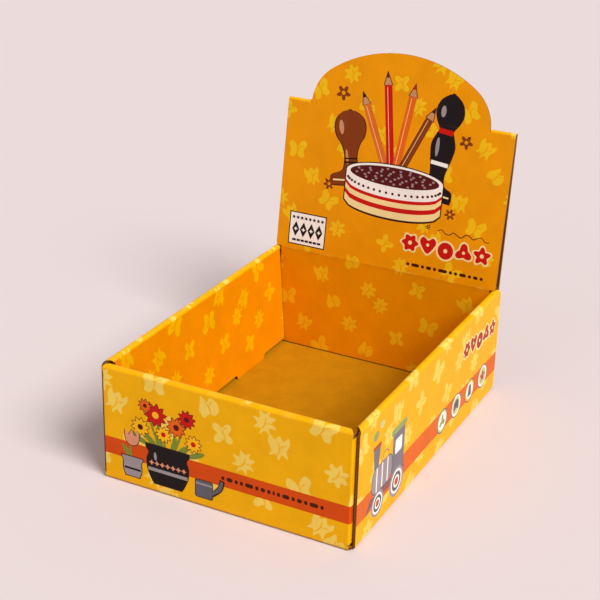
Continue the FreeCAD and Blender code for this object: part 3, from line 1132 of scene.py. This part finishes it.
def toy_engine(place):
    lay("slate", place, box_points(-27, 27, 12, 17.5))
    lay("brick", place, box_points(-27, 27, 13.6, 15.6))
    outlined("stone_grey", place, rounded(box_points(-25, 6, 18.4, 37), 6.0, 5), 0.9, "slate")
    for x in (-18, -9.5, -1):
        lay("white", place, box_points(x - 0.8, x + 0.8, 18.6, 36.8))
    outlined("ink_grey", place, rounded(box_points(7, 25, 18.4, 48), 1.4, 3), 0.9, "slate")
    lay("white", place, rounded(box_points(10.4, 21.6, 32, 43), 1.6, 3))
    lay("moss_green", place, rounded(box_points(3.4, 28.6, 48, 53), 2.2, 4))
    chimney = [(-22.5, 37.6), (-16.5, 37.6), (-14.5, 53), (-24.5, 53)]
    outlined("ink_grey", place, chimney, 0.8, "slate")
    lay("brick", place, box_points(-25.6, -13.4, 52, 54.6))
    outlined("flower_yellow", place, smooth_dome(-5.0, 37.6, 4.6, 6.0), 0.7, "slate")
    lay("moss_green", place, oval(-22, 62, 4.2, 3.4, 10, 16))
    lay("token_green", place, oval(-13, 66.5, 3.2, 2.6, 10, 14))
    lay("slate", place, [(-27, 12), (-27, 18), (-33, 9.4), (-33, 7.6)])
    spoked_wheel(place, -15, 9.0, 9.6)
    spoked_wheel(place, 15.5, 9.6, 11.2)


print("one dome has", len(smooth_dome(0, 0, 1, 1)), "points")


# %% Tokens, and both side places
def token(place, kind):
    lay("slate", place, disc(0, 0, 9.6, 28))
    lay(("token_green", "white", "flower_yellow", "white")[kind], place, disc(0, 0, 8.6, 26))
    lay("token_green" if kind % 2 else "white", place, disc(0, 0, 6.9, 24))
    if kind == 0:
        lay("moss_green", place, rosette(0, 0, 2.0, 5.6, 3, 90, 8))
    elif kind == 1:
        lay("slate", place, blob([(-4, -4), (-4.5, 2), (0, 5), (4.5, 2), (4, -4), (0, -2)], 4))
    elif kind == 2:
        lay("slate", place, rounded([(-3.6, -4.6), (3.6, -4.6), (2.2, 4.8), (-2.2, 4.8)], 0.8, 3))
        lay("brick", place, disc(0, 0.4, 1.4, 12))
    else:
        lay("brick", place, rosette(0, 0, 2.4, 5.4, 5, 18, 5))


engine_place, first_token, token_pitch, row_place = 77, 19, 27, 87
for face, toward_front in ((right_face, -1), (left_face, 1)):
    toy_engine(face.moved(engine_place * toward_front, 8.0))
    for i in range(4):
        token(face.moved(-(first_token + token_pitch * i) * toward_front, 24.0), i)
    counter_row(face.moved(-row_place * toward_front, 60.5, -5.0), 13.5, 6.0, "side_red")
print("print layers in all:", len(print_layers))

# %% [markdown]
# ## Meshing the blank
# A constrained triangulation takes every line that must stay an edge: panel outlines, cuts,
# fold lines and ink outlines. It fills the plane with triangles that respect them. Each
# triangle then asks which panel it is in, which cut removes it and which ink is on top.

# %% Triangulate and sort
def inside(xs, ys, ring):
    hit = np.zeros(len(xs), dtype=bool)
    px, py = ring[-1]
    for qx, qy in ring:
        if qy != py:
            hit ^= ((qy > ys) != (py > ys)) & (xs < (px - qx) * (ys - qy) / (py - qy) + qx)
        px, py = qx, qy
    return hit


def within(centres, ring):
    corners = np.array(ring)
    low, high = corners.min(axis=0), corners.max(axis=0)
    near = np.nonzero(((centres >= low) & (centres <= high)).all(axis=1))[0]
    return near[inside(centres[near, 0], centres[near, 1], ring)]


def mesh_of(rings, lines):
    points, edges = [], []
    for ring in rings:
        first = len(points)
        points.extend(ring)
        edges.extend((first + i, first + (i + 1) % len(ring)) for i in range(len(ring)))
    for line in lines:
        first = len(points)
        points.extend(line)
        edges.extend((first + i, first + i + 1) for i in range(len(line) - 1))
    found = delaunay_2d_cdt([Vector(p) for p in points], edges, [], 0, AT_EDGE)
    verts, faces = found[0], found[2]
    flat = np.array([tuple(v) for v in verts])
    triangles = np.array([tuple(f) for f in faces if len(f) == 3])
    centres = flat[triangles].mean(axis=1)
    kept = np.zeros(len(triangles), dtype=bool)
    for ring in panels:
        kept[within(centres, ring)] = True
    for ring in missing:
        kept[within(centres, ring)] = False
    kept[within(centres, arch_panel)] = True
    used, renumbered = np.unique(triangles[kept], return_inverse=True)
    return flat[used], renumbered.reshape(-1, 3), centres[kept]


cutting_lines = panels + missing + [arch_panel]
bare_flat, bare_triangles, bare_centres = mesh_of(cutting_lines, score_lines)
print("bare liner:", len(bare_triangles), "triangles")

# %% Lay the ink
bleed = 8.0
base_x, base_y = side_edge - bleed, end_edge - bleed
lay("bare_white", Place(0, 0), box_points(-base_x, base_x, -base_y, base_y))
print_flat, print_triangles, print_centres = mesh_of(
    cutting_lines + [ring for _, ring in print_layers], score_lines)
ink_names = ["flood"]
triangle_ink = np.zeros(len(print_triangles), dtype=int)
for ink, ring in print_layers:
    if ink not in ink_names:
        ink_names.append(ink)
    triangle_ink[within(print_centres, ring)] = ink_names.index(ink)
print("printed liner:", len(print_triangles), "triangles,", len(ink_names), "inks")

# %% [markdown]
# ## Node helpers
# A material is a small tree of nodes. Three helpers keep the trees readable: one adds a node
# and sets its sockets, one wires a maths step, and one starts a shared group. A shared group
# is the way to use one effect in many materials with different values.

# %% Colours and plain nodes
def srgb(red, green, blue):
    def linear(channel):
        c = channel / 255
        return c / 12.92 if c <= 0.04045 else ((c + 0.055) / 1.055) ** 2.4
    return (linear(red), linear(green), linear(blue), 1.0)


def add_node(tree, kind, settings=None, **inputs):
    node = tree.nodes.new(kind)
    for name, value in (settings or {}).items():
        setattr(node, name, value)
    for name, value in inputs.items():
        socket = node.inputs[name.replace("_", " ")]
        if isinstance(value, bpy.types.NodeSocket):
            tree.links.new(value, socket)
        else:
            socket.default_value = value
    return node


def maths(tree, operation, *values):
    node = tree.nodes.new("ShaderNodeMath")
    node.operation = operation
    for socket, value in zip(node.inputs, values):
        if isinstance(value, bpy.types.NodeSocket):
            tree.links.new(value, socket)
        else:
            socket.default_value = value
    return node.outputs[0]


def blended(tree, share, first, second, mode="MIX"):
    node = tree.nodes.new("ShaderNodeMix")
    node.data_type, node.blend_type = "RGBA", mode
    for socket, value in ((node.inputs[0], share), (node.inputs[6], first),
                          (node.inputs[7], second)):
        if isinstance(value, bpy.types.NodeSocket):
            tree.links.new(value, socket)
        else:
            socket.default_value = value
    return node.outputs[2]


def stretched(tree, value, low, high, to_low=0.0, to_high=1.0):
    node = add_node(tree, "ShaderNodeMapRange", {"clamp": True}, Value=value, From_Min=low,
                    From_Max=high, To_Min=to_low, To_Max=to_high)
    return node.outputs[0]


print("one step of grey 128 is", round(srgb(128, 128, 128)[0], 3), "in light units")


# %% Helpers for shared groups
def new_group(name, inputs, outputs):
    group = bpy.data.node_groups.new(name, "ShaderNodeTree")
    for label, kind, default in inputs:
        socket = group.interface.new_socket(label, in_out="INPUT",
                                            socket_type="NodeSocket" + kind)
        socket.default_value = default
    for label, kind in outputs:
        group.interface.new_socket(label, in_out="OUTPUT", socket_type="NodeSocket" + kind)
    return (group, group.nodes.new("NodeGroupInput").outputs,
            group.nodes.new("NodeGroupOutput").inputs)


def use_group(tree, group, **inputs):
    node = tree.nodes.new("ShaderNodeGroup")
    node.node_tree = group
    for name, value in inputs.items():
        socket = node.inputs[name.replace("_", " ")]
        if isinstance(value, bpy.types.NodeSocket):
            tree.links.new(value, socket)
        else:
            socket.default_value = value
    return node.outputs


print("a group is made with new_group and placed with use_group")

# %% [markdown]
# ## Three effects of the board
# Paper fibres, the faint washboard that the fluting presses through the liner, and the ink
# that cracks along a crease are on every face. Each is a group with named sockets. All work on
# the blank's own coordinates, so they follow the sheet round its folds.

# %% Shared group: paper fibres
def fibre_group():
    group, inputs, out = new_group("Paper fibres", [("Fibre scale", "Float", 2600.0),
                                                    ("Mottle scale", "Float", 42.0)],
                                   [("Fibre", "Float"), ("Mottle", "Float")])
    uv = add_node(group, "ShaderNodeUVMap", {"uv_map": "blank"}).outputs[0]
    squeezed = add_node(group, "ShaderNodeMapping", Vector=uv, Scale=(1.0, 0.22, 1.0)).outputs[0]
    fine = add_node(group, "ShaderNodeTexNoise", {"noise_dimensions": "2D"}, Vector=squeezed,
                    Scale=inputs["Fibre scale"], Detail=3.0, Roughness=0.62).outputs[0]
    broad = add_node(group, "ShaderNodeTexNoise", {"noise_dimensions": "2D"}, Vector=uv,
                     Scale=inputs["Mottle scale"], Detail=4.0, Roughness=0.6).outputs[0]
    group.links.new(stretched(group, fine, 0.3, 0.7), out["Fibre"])
    group.links.new(stretched(group, broad, 0.3, 0.7), out["Mottle"])
    return group


paper_fibres = fibre_group()
print("shared group:", paper_fibres.name)

# %% Shared group: fluting seen through the liner
flute_pitch = 3.3


def washboard_group():
    group, inputs, out = new_group("Fluting seen through the liner",
                                   [("Pitch", "Float", flute_pitch * MM),
                                    ("Weakest", "Float", 0.35)], [("Ridge", "Float")])
    uv = add_node(group, "ShaderNodeUVMap", {"uv_map": "blank"}).outputs[0]
    across_flutes = add_node(group, "ShaderNodeSeparateXYZ", Vector=uv).outputs[0]
    turns = maths(group, "DIVIDE", across_flutes, inputs["Pitch"])
    wave = maths(group, "SINE", maths(group, "MULTIPLY", turns, 2 * math.pi))
    patchy = add_node(group, "ShaderNodeTexNoise", {"noise_dimensions": "2D"}, Vector=uv,
                      Scale=18.0, Detail=2.0).outputs[0]
    strength = stretched(group, patchy, 0.35, 0.65, inputs["Weakest"], 1.0)
    ridge = maths(group, "MULTIPLY", wave, strength)
    group.links.new(stretched(group, ridge, -1.0, 1.0), out["Ridge"])
    return group


washboard = washboard_group()
print("shared group:", washboard.name, "every", flute_pitch, "mm")


# %% Shared group: cracked creases
def crease_group():
    group, inputs, out = new_group("Cracked crease", [("Crease", "Float", 0.0),
                                                      ("Crack spread", "Float", 0.2)],
                                   [("Cracks", "Float"), ("Rub", "Float")])
    uv = add_node(group, "ShaderNodeUVMap", {"uv_map": "blank"}).outputs[0]
    specks = add_node(group, "ShaderNodeTexNoise", {"noise_dimensions": "2D"}, Vector=uv,
                      Scale=1500.0, Detail=4.0, Roughness=0.7).outputs[0]
    patches = add_node(group, "ShaderNodeTexNoise", {"noise_dimensions": "2D"}, Vector=uv,
                       Scale=95.0, Detail=3.0).outputs[0]
    worn = maths(group, "MULTIPLY", inputs["Crease"], stretched(group, patches, 0.42, 0.68))
    spread = maths(group, "MULTIPLY", worn, inputs["Crack spread"])
    cracks = stretched(group, maths(group, "ADD", specks, spread), 0.72, 0.78)
    group.links.new(maths(group, "MULTIPLY", cracks, inputs["Crease"]), out["Cracks"])
    group.links.new(maths(group, "MULTIPLY", inputs["Crease"],
                          stretched(group, patches, 0.3, 0.7, 0.4, 1.0)), out["Rub"])
    return group


cracked_crease = crease_group()
print("shared groups:", [g.name for g in bpy.data.node_groups])

# %% [markdown]
# ## The inks
# Offset ink on coated liner has a satin gloss and a faint mottle, and it cracks a little where
# the board is creased. Every ink is the same recipe with its own colour, so one function makes
# them all. One image of the whole print would need a picture file and would blur close up.
# The ground and its motifs have separate tones for the walls, the header and the inner plies.
# A press would use one ink for them: the tones are matched to a photograph whose light differs
# from face to face, so part of that light is in the colour.

# %% The press inks
ink_colours = {
    "flood_walls": (233, 168, 0), "flood_header": (230, 146, 0), "flood_inside": (236, 142, 0),
    "motif_walls": (235, 198, 86), "motif_header": (234, 182, 20), "motif_inside": (246, 178, 0),
    "flood_inner_sides": (226, 137, 0), "motif_inner_sides": (228, 172, 0),
    # The paler side stripe tone is painted sheen on the same red-orange band.
    "stripe_orange": (204, 72, 8), "stripe_side": (214, 98, 24), "key_line": (52, 22, 12),
    "maroon": (84, 20, 22), "dot_grey": (150, 132, 132), "wood_brown": (128, 56, 18),
    "pale_wood": (196, 138, 96), "deep_brown": (40, 12, 6), "ink_black": (28, 20, 22),
    "stone_grey": (150, 138, 142), "stone_pink": (214, 140, 110), "white": (242, 234, 226),
    "red": (196, 22, 16), "terracotta": (214, 104, 36), "cream": (240, 214, 150),
    "dark_print": (70, 26, 10), "leaf_green": (120, 132, 48), "flower_yellow": (240, 178, 20),
    "flower_orange": (222, 96, 20), "slate": (92, 92, 100), "ink_grey": (118, 112, 120),
    "brick": (176, 74, 48), "moss_green": (142, 154, 92), "token_green": (188, 196, 138),
    "side_red": (168, 52, 44), "bare_white": (226, 220, 210),
}
liner_white = srgb(244, 208, 92)


def ink_material(name, colour):
    material = bpy.data.materials.new("ink_" + name)
    material.use_nodes = True
    tree = material.node_tree
    surface = tree.nodes["Principled BSDF"]
    fibres = use_group(tree, paper_fibres, Fibre_scale=2600.0, Mottle_scale=42.0)
    ridges = use_group(tree, washboard, Pitch=flute_pitch * MM, Weakest=0.35)
    crease = add_node(tree, "ShaderNodeAttribute", {"attribute_name": "crease"}).outputs["Fac"]
    wear = use_group(tree, cracked_crease, Crease=crease,
                     Crack_spread=0.3 if "header" in name else 0.2)
    ink = srgb(*colour)
    pale = tuple(min(1.0, c * 1.05) for c in ink[:3]) + (1.0,)
    deep = tuple(c * 0.95 for c in ink[:3]) + (1.0,)
    printed = blended(tree, fibres["Mottle"], deep, pale)
    # Along the washboard ridges the ink is mixed a little darker: painted shade of the relief,
    # beside the bump below.
    ridge_painted_shade = blended(tree, stretched(tree, ridges["Ridge"], 0.0, 1.0, 0.0, 0.05), printed, deep)
    rubbed = blended(tree, maths(tree, "MULTIPLY", wear["Rub"], 0.02), ridge_painted_shade, liner_white)
    cracked = blended(tree, maths(tree, "MULTIPLY", wear["Cracks"], 0.45), rubbed, liner_white)
    satin = stretched(tree, fibres["Fibre"], 0.0, 1.0, 0.36, 0.5)
    tree.links.new(cracked, surface.inputs["Base Color"])
    tree.links.new(satin, surface.inputs["Roughness"])
    surface.inputs["Specular IOR Level"].default_value = 0.08
    relief = maths(tree, "ADD", maths(tree, "MULTIPLY", ridges["Ridge"], 0.7),
                   maths(tree, "MULTIPLY", fibres["Fibre"], 0.16))
    bump = add_node(tree, "ShaderNodeBump", Height=relief, Strength=0.35, Distance=0.00012)
    tree.links.new(bump.outputs[0], surface.inputs["Normal"])
    return material


print("inks on the press:", len(ink_colours))

# %% [markdown]
# ## Bare kraft
# Inside the tray the unprinted liner shows. It is matt brown paper with pale fibres and dark
# flecks. The gap at the header's side looks darker in the photograph, so the same recipe is
# used in the pocket with darker tones. They are matched to that darkness: it is surely the same
# paper.

# %% Bare kraft liner, and painted shade: darker kraft tones inside the header pocket
# Each set lists pulp deep, pulp pale, fibre, fleck and a darker ridge tone; the ridge tone is
# painted shade of the washboard.
kraft_tones = {
    # The bare kraft tones are deep orange with almost no blue: partly the kraft's own colour,
    # partly painted bounce light from the orange printed walls.
    "bare_kraft": ((173, 116, 2), (185, 126, 4), (205, 145, 12), (110, 62, 6), (148, 91, 2)),
    # The pocket tones are painted shade for the narrow gap between the plies; the paper is the
    # same.
    "pocket_kraft": ((98, 52, 6), (112, 62, 8), (126, 74, 14), (60, 28, 2), (84, 42, 2)),
}


def kraft_material(name):
    pulp_deep, pulp_pale, fibre_tone, fleck_tone, ridge_shade_tone = (
        srgb(*tone) for tone in kraft_tones[name])
    material = bpy.data.materials.new(name)
    material.use_nodes = True
    tree = material.node_tree
    surface = tree.nodes["Principled BSDF"]
    fibres = use_group(tree, paper_fibres, Fibre_scale=1900.0, Mottle_scale=60.0)
    ridges = use_group(tree, washboard, Pitch=flute_pitch * MM, Weakest=0.5)
    uv = add_node(tree, "ShaderNodeUVMap", {"uv_map": "blank"}).outputs[0]
    flecks = add_node(tree, "ShaderNodeTexNoise", {"noise_dimensions": "2D"}, Vector=uv,
                      Scale=900.0, Detail=2.0, Roughness=0.5).outputs[0]
    crease = add_node(tree, "ShaderNodeAttribute", {"attribute_name": "crease"}).outputs["Fac"]
    wear = use_group(tree, cracked_crease, Crease=crease, Crack_spread=0.3)
    pulp = blended(tree, fibres["Mottle"], pulp_deep, pulp_pale)
    fibre = blended(tree, stretched(tree, fibres["Fibre"], 0.2, 0.9, 0.0, 0.3), pulp, fibre_tone)
    flecked = blended(tree, stretched(tree, flecks, 0.66, 0.74, 0.0, 0.4), fibre, fleck_tone)
    # Along the washboard ridges the kraft is mixed towards a darker tone: painted shade of the
    # relief, beside the bump below.
    kraft_ridge_painted_shade = blended(tree, stretched(tree, ridges["Ridge"], 0.0, 1.0, 0.0, 0.07), flecked,
                    ridge_shade_tone)
    rubbed = blended(tree, maths(tree, "MULTIPLY", wear["Rub"], 0.25), kraft_ridge_painted_shade, fleck_tone)
    tree.links.new(rubbed, surface.inputs["Base Color"])
    matt = stretched(tree, fibres["Fibre"], 0.0, 1.0, 0.72, 0.9)
    tree.links.new(matt, surface.inputs["Roughness"])
    surface.inputs["Specular IOR Level"].default_value = 0.08
    relief = maths(tree, "ADD", ridges["Ridge"], maths(tree, "MULTIPLY", fibres["Fibre"], 0.5))
    bump = add_node(tree, "ShaderNodeBump", Height=relief, Strength=0.35, Distance=0.00008)
    tree.links.new(bump.outputs[0], surface.inputs["Normal"])
    return material


print("kraft tones:", list(kraft_tones))

# %% [markdown]
# ## The cut edge
# A blade leaves the edge raw: two thin skins with a wavy medium between them, and dark hollows
# either side of the wave. Its coordinates run along the edge and across the board, so the wave
# is a sine drawn across the thickness. Modelling each flute would cost far more faces than the
# eye can see at this size. The photograph shows no dark line round the arch, so the tones there
# are set lighter. Nothing is known about that cut itself.

# %% Cut edge with its flutes
edge_tones = {
    # One board edge in two tone sets: the darker set carries painted shade, the lighter set round
    # the arch painted light.
    "cut_edge_painted_shade": ((48, 20, 0), (70, 34, 4), (132, 78, 16), (160, 100, 28)),
    "arch_edge_painted_light": ((112, 62, 8), (132, 76, 14), (188, 116, 20), (204, 130, 34)),
}


def edge_material(name):
    hollow_shade_deep, hollow_shade_pale, pulp_deep, pulp_pale = (srgb(*tone) for tone in edge_tones[name])
    material = bpy.data.materials.new(name)
    material.use_nodes = True
    tree = material.node_tree
    surface = tree.nodes["Principled BSDF"]
    uv = add_node(tree, "ShaderNodeUVMap", {"uv_map": "edge"}).outputs[0]
    parts = add_node(tree, "ShaderNodeSeparateXYZ", Vector=uv).outputs
    wave = maths(tree, "SINE", maths(tree, "MULTIPLY", parts[0], 2 * math.pi / (flute_pitch * MM)))
    middle = maths(tree, "ADD", maths(tree, "MULTIPLY", wave, 0.32), 0.5)
    gap = maths(tree, "ABSOLUTE", maths(tree, "SUBTRACT", parts[1], middle))
    medium = stretched(tree, gap, 0.1, 0.2, 1.0, 0.0)
    skins = stretched(tree, maths(tree, "ABSOLUTE", maths(tree, "SUBTRACT", parts[1], 0.5)),
                      0.34, 0.42)
    paper = maths(tree, "MAXIMUM", medium, skins)
    fuzz = add_node(tree, "ShaderNodeTexNoise", {"noise_dimensions": "2D"}, Vector=uv,
                    Scale=700.0, Detail=3.0).outputs[0]
    # The hollows between the flutes get dark tones: painted shade for the open channels, which are
    # not modelled.
    hollow = blended(tree, stretched(tree, fuzz, 0.3, 0.7), hollow_shade_deep, hollow_shade_pale)
    pulp = blended(tree, stretched(tree, fuzz, 0.3, 0.7), pulp_deep, pulp_pale)
    tree.links.new(blended(tree, paper, hollow, pulp), surface.inputs["Base Color"])
    tree.links.new(stretched(tree, fuzz, 0.3, 0.7, 0.8, 0.95), surface.inputs["Roughness"])
    bump = add_node(tree, "ShaderNodeBump", Height=paper, Strength=0.6, Distance=0.0003)
    tree.links.new(bump.outputs[0], surface.inputs["Normal"])
    return material


made_materials = {}


def board_material(name):
    if name not in made_materials:
        makers = {"bare_kraft": kraft_material, "pocket_kraft": kraft_material,
                  "cut_edge_painted_shade": edge_material, "arch_edge_painted_light": edge_material}
        made_materials[name] = (makers[name](name) if name in makers
                                else ink_material(name, ink_colours[name]))
    return made_materials[name]


print("kraft and cut edge ready:", [board_material(n).name for n in ("bare_kraft", "cut_edge_painted_shade")])

# %% [markdown]
# ## Folding the meshes
# The flat triangles are now folded by the rule above. The blank's own coordinates are kept as
# the UV map, in metres, so grain and flutes run straight through every fold. Normals come from
# the folding rule too.

# %% Build the three pieces of board
def zone_ink(ink, x, y):
    if ink not in ("flood", "motif"):
        return ink
    zone = print_zone(x, y)
    return ink + "_" + ("walls" if zone == "base" else zone)


def folded_piece(name, flat, triangles, depth, flip, inks):
    spots = [in_space(x, y, depth) for x, y in flat]
    mesh = bpy.data.meshes.new(name)
    order = (0, 2, 1) if flip else (0, 1, 2)
    faces = [tuple(int(t[k]) for k in order) for t in triangles]
    mesh.from_pydata([p for p, _ in spots], [], faces)
    uv = mesh.uv_layers.new(name="blank")
    for loop in mesh.loops:
        x, y = flat[loop.vertex_index]
        uv.data[loop.index].uv = (x * MM, y * MM)
    crease = mesh.attributes.new("crease", "FLOAT", "POINT")
    crease.data.foreach_set("value", [crease_share(x, y) for x, y in flat])
    mesh.polygons.foreach_set("use_smooth", [True] * len(faces))
    used = sorted(set(inks))
    for ink in used:
        mesh.materials.append(board_material(ink))
    mesh.polygons.foreach_set("material_index", [used.index(ink) for ink in inks])
    mesh.normals_split_custom_set_from_vertices([-n if flip else n for _, n in spots])
    mesh.validate()
    piece = bpy.data.objects.new(name, mesh)
    bpy.context.collection.objects.link(piece)
    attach(piece, "root")
    print(name, len(mesh.vertices), "points,", len(faces), "faces,", len(used), "materials")
    return piece


print("inks in use before the faces split flood and motif:", len(ink_names))

# %% [markdown]
# ## The printed face, the bare face and the edge between
# The printed face and the bare face are two skins of the same blank, one board thickness
# apart. Wherever a triangle edge has no neighbour there is a cut, and a strip of cut edge
# joins the two skins. That closes the board all round, slots and window included.

# %% Printed liner and bare liner
ink_list = [zone_ink(ink_names[i], *centre) for i, centre in zip(triangle_ink, print_centres)]
printed_liner = folded_piece("printed_liner", print_flat, print_triangles, 0.0, True, ink_list)
# Inside the header pocket the bare liner takes the darker tones: painted shade.
pocket_low = end_edge + back_lean_low
bare_zones = ["pocket_kraft" if pocket_low < y < header_top_y and not inside_arch(x, y)
              else "bare_kraft" for x, y in bare_centres]
bare_liner = folded_piece("bare_liner", bare_flat, bare_triangles, board, False, bare_zones)
print("two skins:", printed_liner.name, bare_liner.name)

# %% Cut edges all round
sides = {}
for triangle in bare_triangles:
    a, b, c = (int(i) for i in triangle)
    for pair in ((a, b), (b, c), (c, a)):
        sides[pair] = True
rim = [pair for pair in sides if (pair[1], pair[0]) not in sides]
edge_points, edge_faces, edge_uv, edge_kinds = [], [], [], []
for a, b in rim:
    first = len(edge_points)
    for index, depth in ((a, 0.0), (b, 0.0), (b, board), (a, board)):
        x, y = bare_flat[index]
        edge_points.append(in_space(x, y, depth)[0])
        edge_uv.append((x * MM, depth / board))
    edge_faces.append((first, first + 1, first + 2, first + 3))
    edge_kinds.append(1 if inside_arch(*(bare_flat[a] + bare_flat[b]) / 2) else 0)
edge_mesh = bpy.data.meshes.new("cut_edges")
edge_mesh.from_pydata(edge_points, [], edge_faces)
edge_map = edge_mesh.uv_layers.new(name="edge")
for loop in edge_mesh.loops:
    edge_map.data[loop.index].uv = edge_uv[loop.vertex_index]
for kind in ("cut_edge_painted_shade", "arch_edge_painted_light"):
    edge_mesh.materials.append(board_material(kind))
edge_mesh.polygons.foreach_set("material_index", edge_kinds)
cut_edges = bpy.data.objects.new("cut_edges", edge_mesh)
bpy.context.collection.objects.link(cut_edges)
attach(cut_edges, "root")
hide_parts(CARTON_NODE)
print("cut edge strips:", len(edge_faces), "of which round the arch:", sum(edge_kinds))

# %% [markdown]
# ## The floor
# The studio is a plain pale floor, a soft sky, one large soft lamp high on the right and a weak
# one at the front left. The right-hand lamp makes the right wall and the rolled tops the
# brightest faces. The floor lies a hair below the box, so that the two never share a plane.

# %% Floor
floor_mesh = bpy.data.meshes.new("floor")
floor_half, floor_drop = 6.0, 0.0002
floor_mesh.from_pydata([(x, y, 0.0) for x, y in box_points(-floor_half, floor_half, -floor_half,
                                                           floor_half)], [], [(0, 1, 2, 3)])
floor = bpy.data.objects.new("floor", floor_mesh)
floor.location.z = -floor_drop
bpy.context.collection.objects.link(floor)
floor_paint = bpy.data.materials.new("floor_paint")
floor_paint.use_nodes = True
floor_tree = floor_paint.node_tree
floor_surface = floor_tree.nodes["Principled BSDF"]
floor_noise = add_node(floor_tree, "ShaderNodeTexNoise", None, Scale=3.0, Detail=2.0).outputs[0]
floor_tree.links.new(blended(floor_tree, floor_noise, srgb(214, 201, 201), srgb(217, 204, 204)),
                     floor_surface.inputs["Base Color"])
floor_surface.inputs["Roughness"].default_value = 0.9
floor_surface.inputs["Specular IOR Level"].default_value = 0.1
floor_mesh.materials.append(floor_paint)
print("floor side:", 2 * floor_half, "m")

# %% [markdown]
# ## Sky and lamps
# The sky gives soft light from all round at a plain level. To the camera, and in any gloss, it
# shows the pale pink of the backdrop instead, so the horizon vanishes without more light on
# the box. The lamps are suns with a wide angle: their light is even over the whole floor and
# their shadows are soft.

# %% Sky and lamps
world = bpy.data.worlds.new("studio_sky")
bpy.context.scene.world = world
world.use_nodes = True
sky_tree = world.node_tree
sky_light = sky_tree.nodes["Background"]
sky_light.inputs["Color"].default_value = (1.0, 0.97, 0.95, 1.0)
sky_light.inputs["Strength"].default_value = 0.42
sky_seen = sky_tree.nodes.new("ShaderNodeBackground")
sky_seen.inputs["Color"].default_value = srgb(237, 223, 223)
rays = sky_tree.nodes.new("ShaderNodeLightPath").outputs
in_gloss = maths(sky_tree, "MAXIMUM", rays["Is Glossy Ray"], rays["Is Transmission Ray"])
seen = maths(sky_tree, "MAXIMUM", rays["Is Camera Ray"], in_gloss)
sky_mix = sky_tree.nodes.new("ShaderNodeMixShader")
sky_tree.links.new(seen, sky_mix.inputs[0])
sky_tree.links.new(sky_light.outputs[0], sky_mix.inputs[1])
sky_tree.links.new(sky_seen.outputs[0], sky_mix.inputs[2])
sky_tree.links.new(sky_mix.outputs[0], sky_tree.nodes["World Output"].inputs["Surface"])


def soft_lamp(name, place, softness, strength):
    light = bpy.data.lights.new(name, "SUN")
    light.angle = math.radians(softness)
    light.energy = strength
    lamp = bpy.data.objects.new(name, light)
    lamp.location = place
    lamp.rotation_euler = (-Vector(place)).to_track_quat("-Z", "Y").to_euler()
    bpy.context.collection.objects.link(lamp)
    return lamp


key_lamp = soft_lamp("key_lamp", (3.1, -1.2, 3.4), 30.0, 3.4)
fill_lamp = soft_lamp("fill_lamp", (-2.0, -4.0, 2.6), 40.0, 0.2)
print("lamps:", [lamp.name for lamp in (key_lamp, fill_lamp)])

# %% [markdown]
# ## Camera
# The stand point is given the way a photographer would: how far round to the right, how far
# above, a slight roll of the hand, and how far away. The axes of the camera are built from
# those angles, which is exact, while a track-to constraint would lose the roll.

# %% Camera
view_from_right = math.radians(26.61)
view_from_above = math.radians(24.117)
view_roll = math.radians(1.531)
slide_right, slide_up, distance = -7.306, 94.985, 1029.163
sharpness = 1401.891
picture_width, sensor_width = 600.0, 36.0

backward = Vector((math.sin(view_from_right) * math.cos(view_from_above),
                   -math.cos(view_from_right) * math.cos(view_from_above),
                   math.sin(view_from_above)))
level_right = Vector((math.cos(view_from_right), math.sin(view_from_right), 0.0))
level_up = backward.cross(level_right)
camera_right = math.cos(view_roll) * level_right + math.sin(view_roll) * level_up
camera_up = -math.sin(view_roll) * level_right + math.cos(view_roll) * level_up
stand = (camera_right * slide_right + camera_up * slide_up + backward * distance) * MM
axes = Matrix((camera_right, camera_up, backward)).transposed().to_4x4()

camera_data = bpy.data.cameras.new("studio_camera")
camera_data.sensor_width = sensor_width
camera_data.lens = sharpness / picture_width * sensor_width
camera = bpy.data.objects.new("studio_camera", camera_data)
camera.matrix_world = Matrix.Translation(stand) @ axes
bpy.context.collection.objects.link(camera)
bpy.context.scene.camera = camera
bpy.context.scene.view_settings.view_transform = "Standard"
print("camera stands at", [round(c, 3) for c in stand], "lens", round(camera_data.lens, 2))

# %% [markdown]
# The dressed box must be as big as the solid one. The solid box is printed at the start,
# and the last line updates the scene.

bpy.context.view_layer.update()
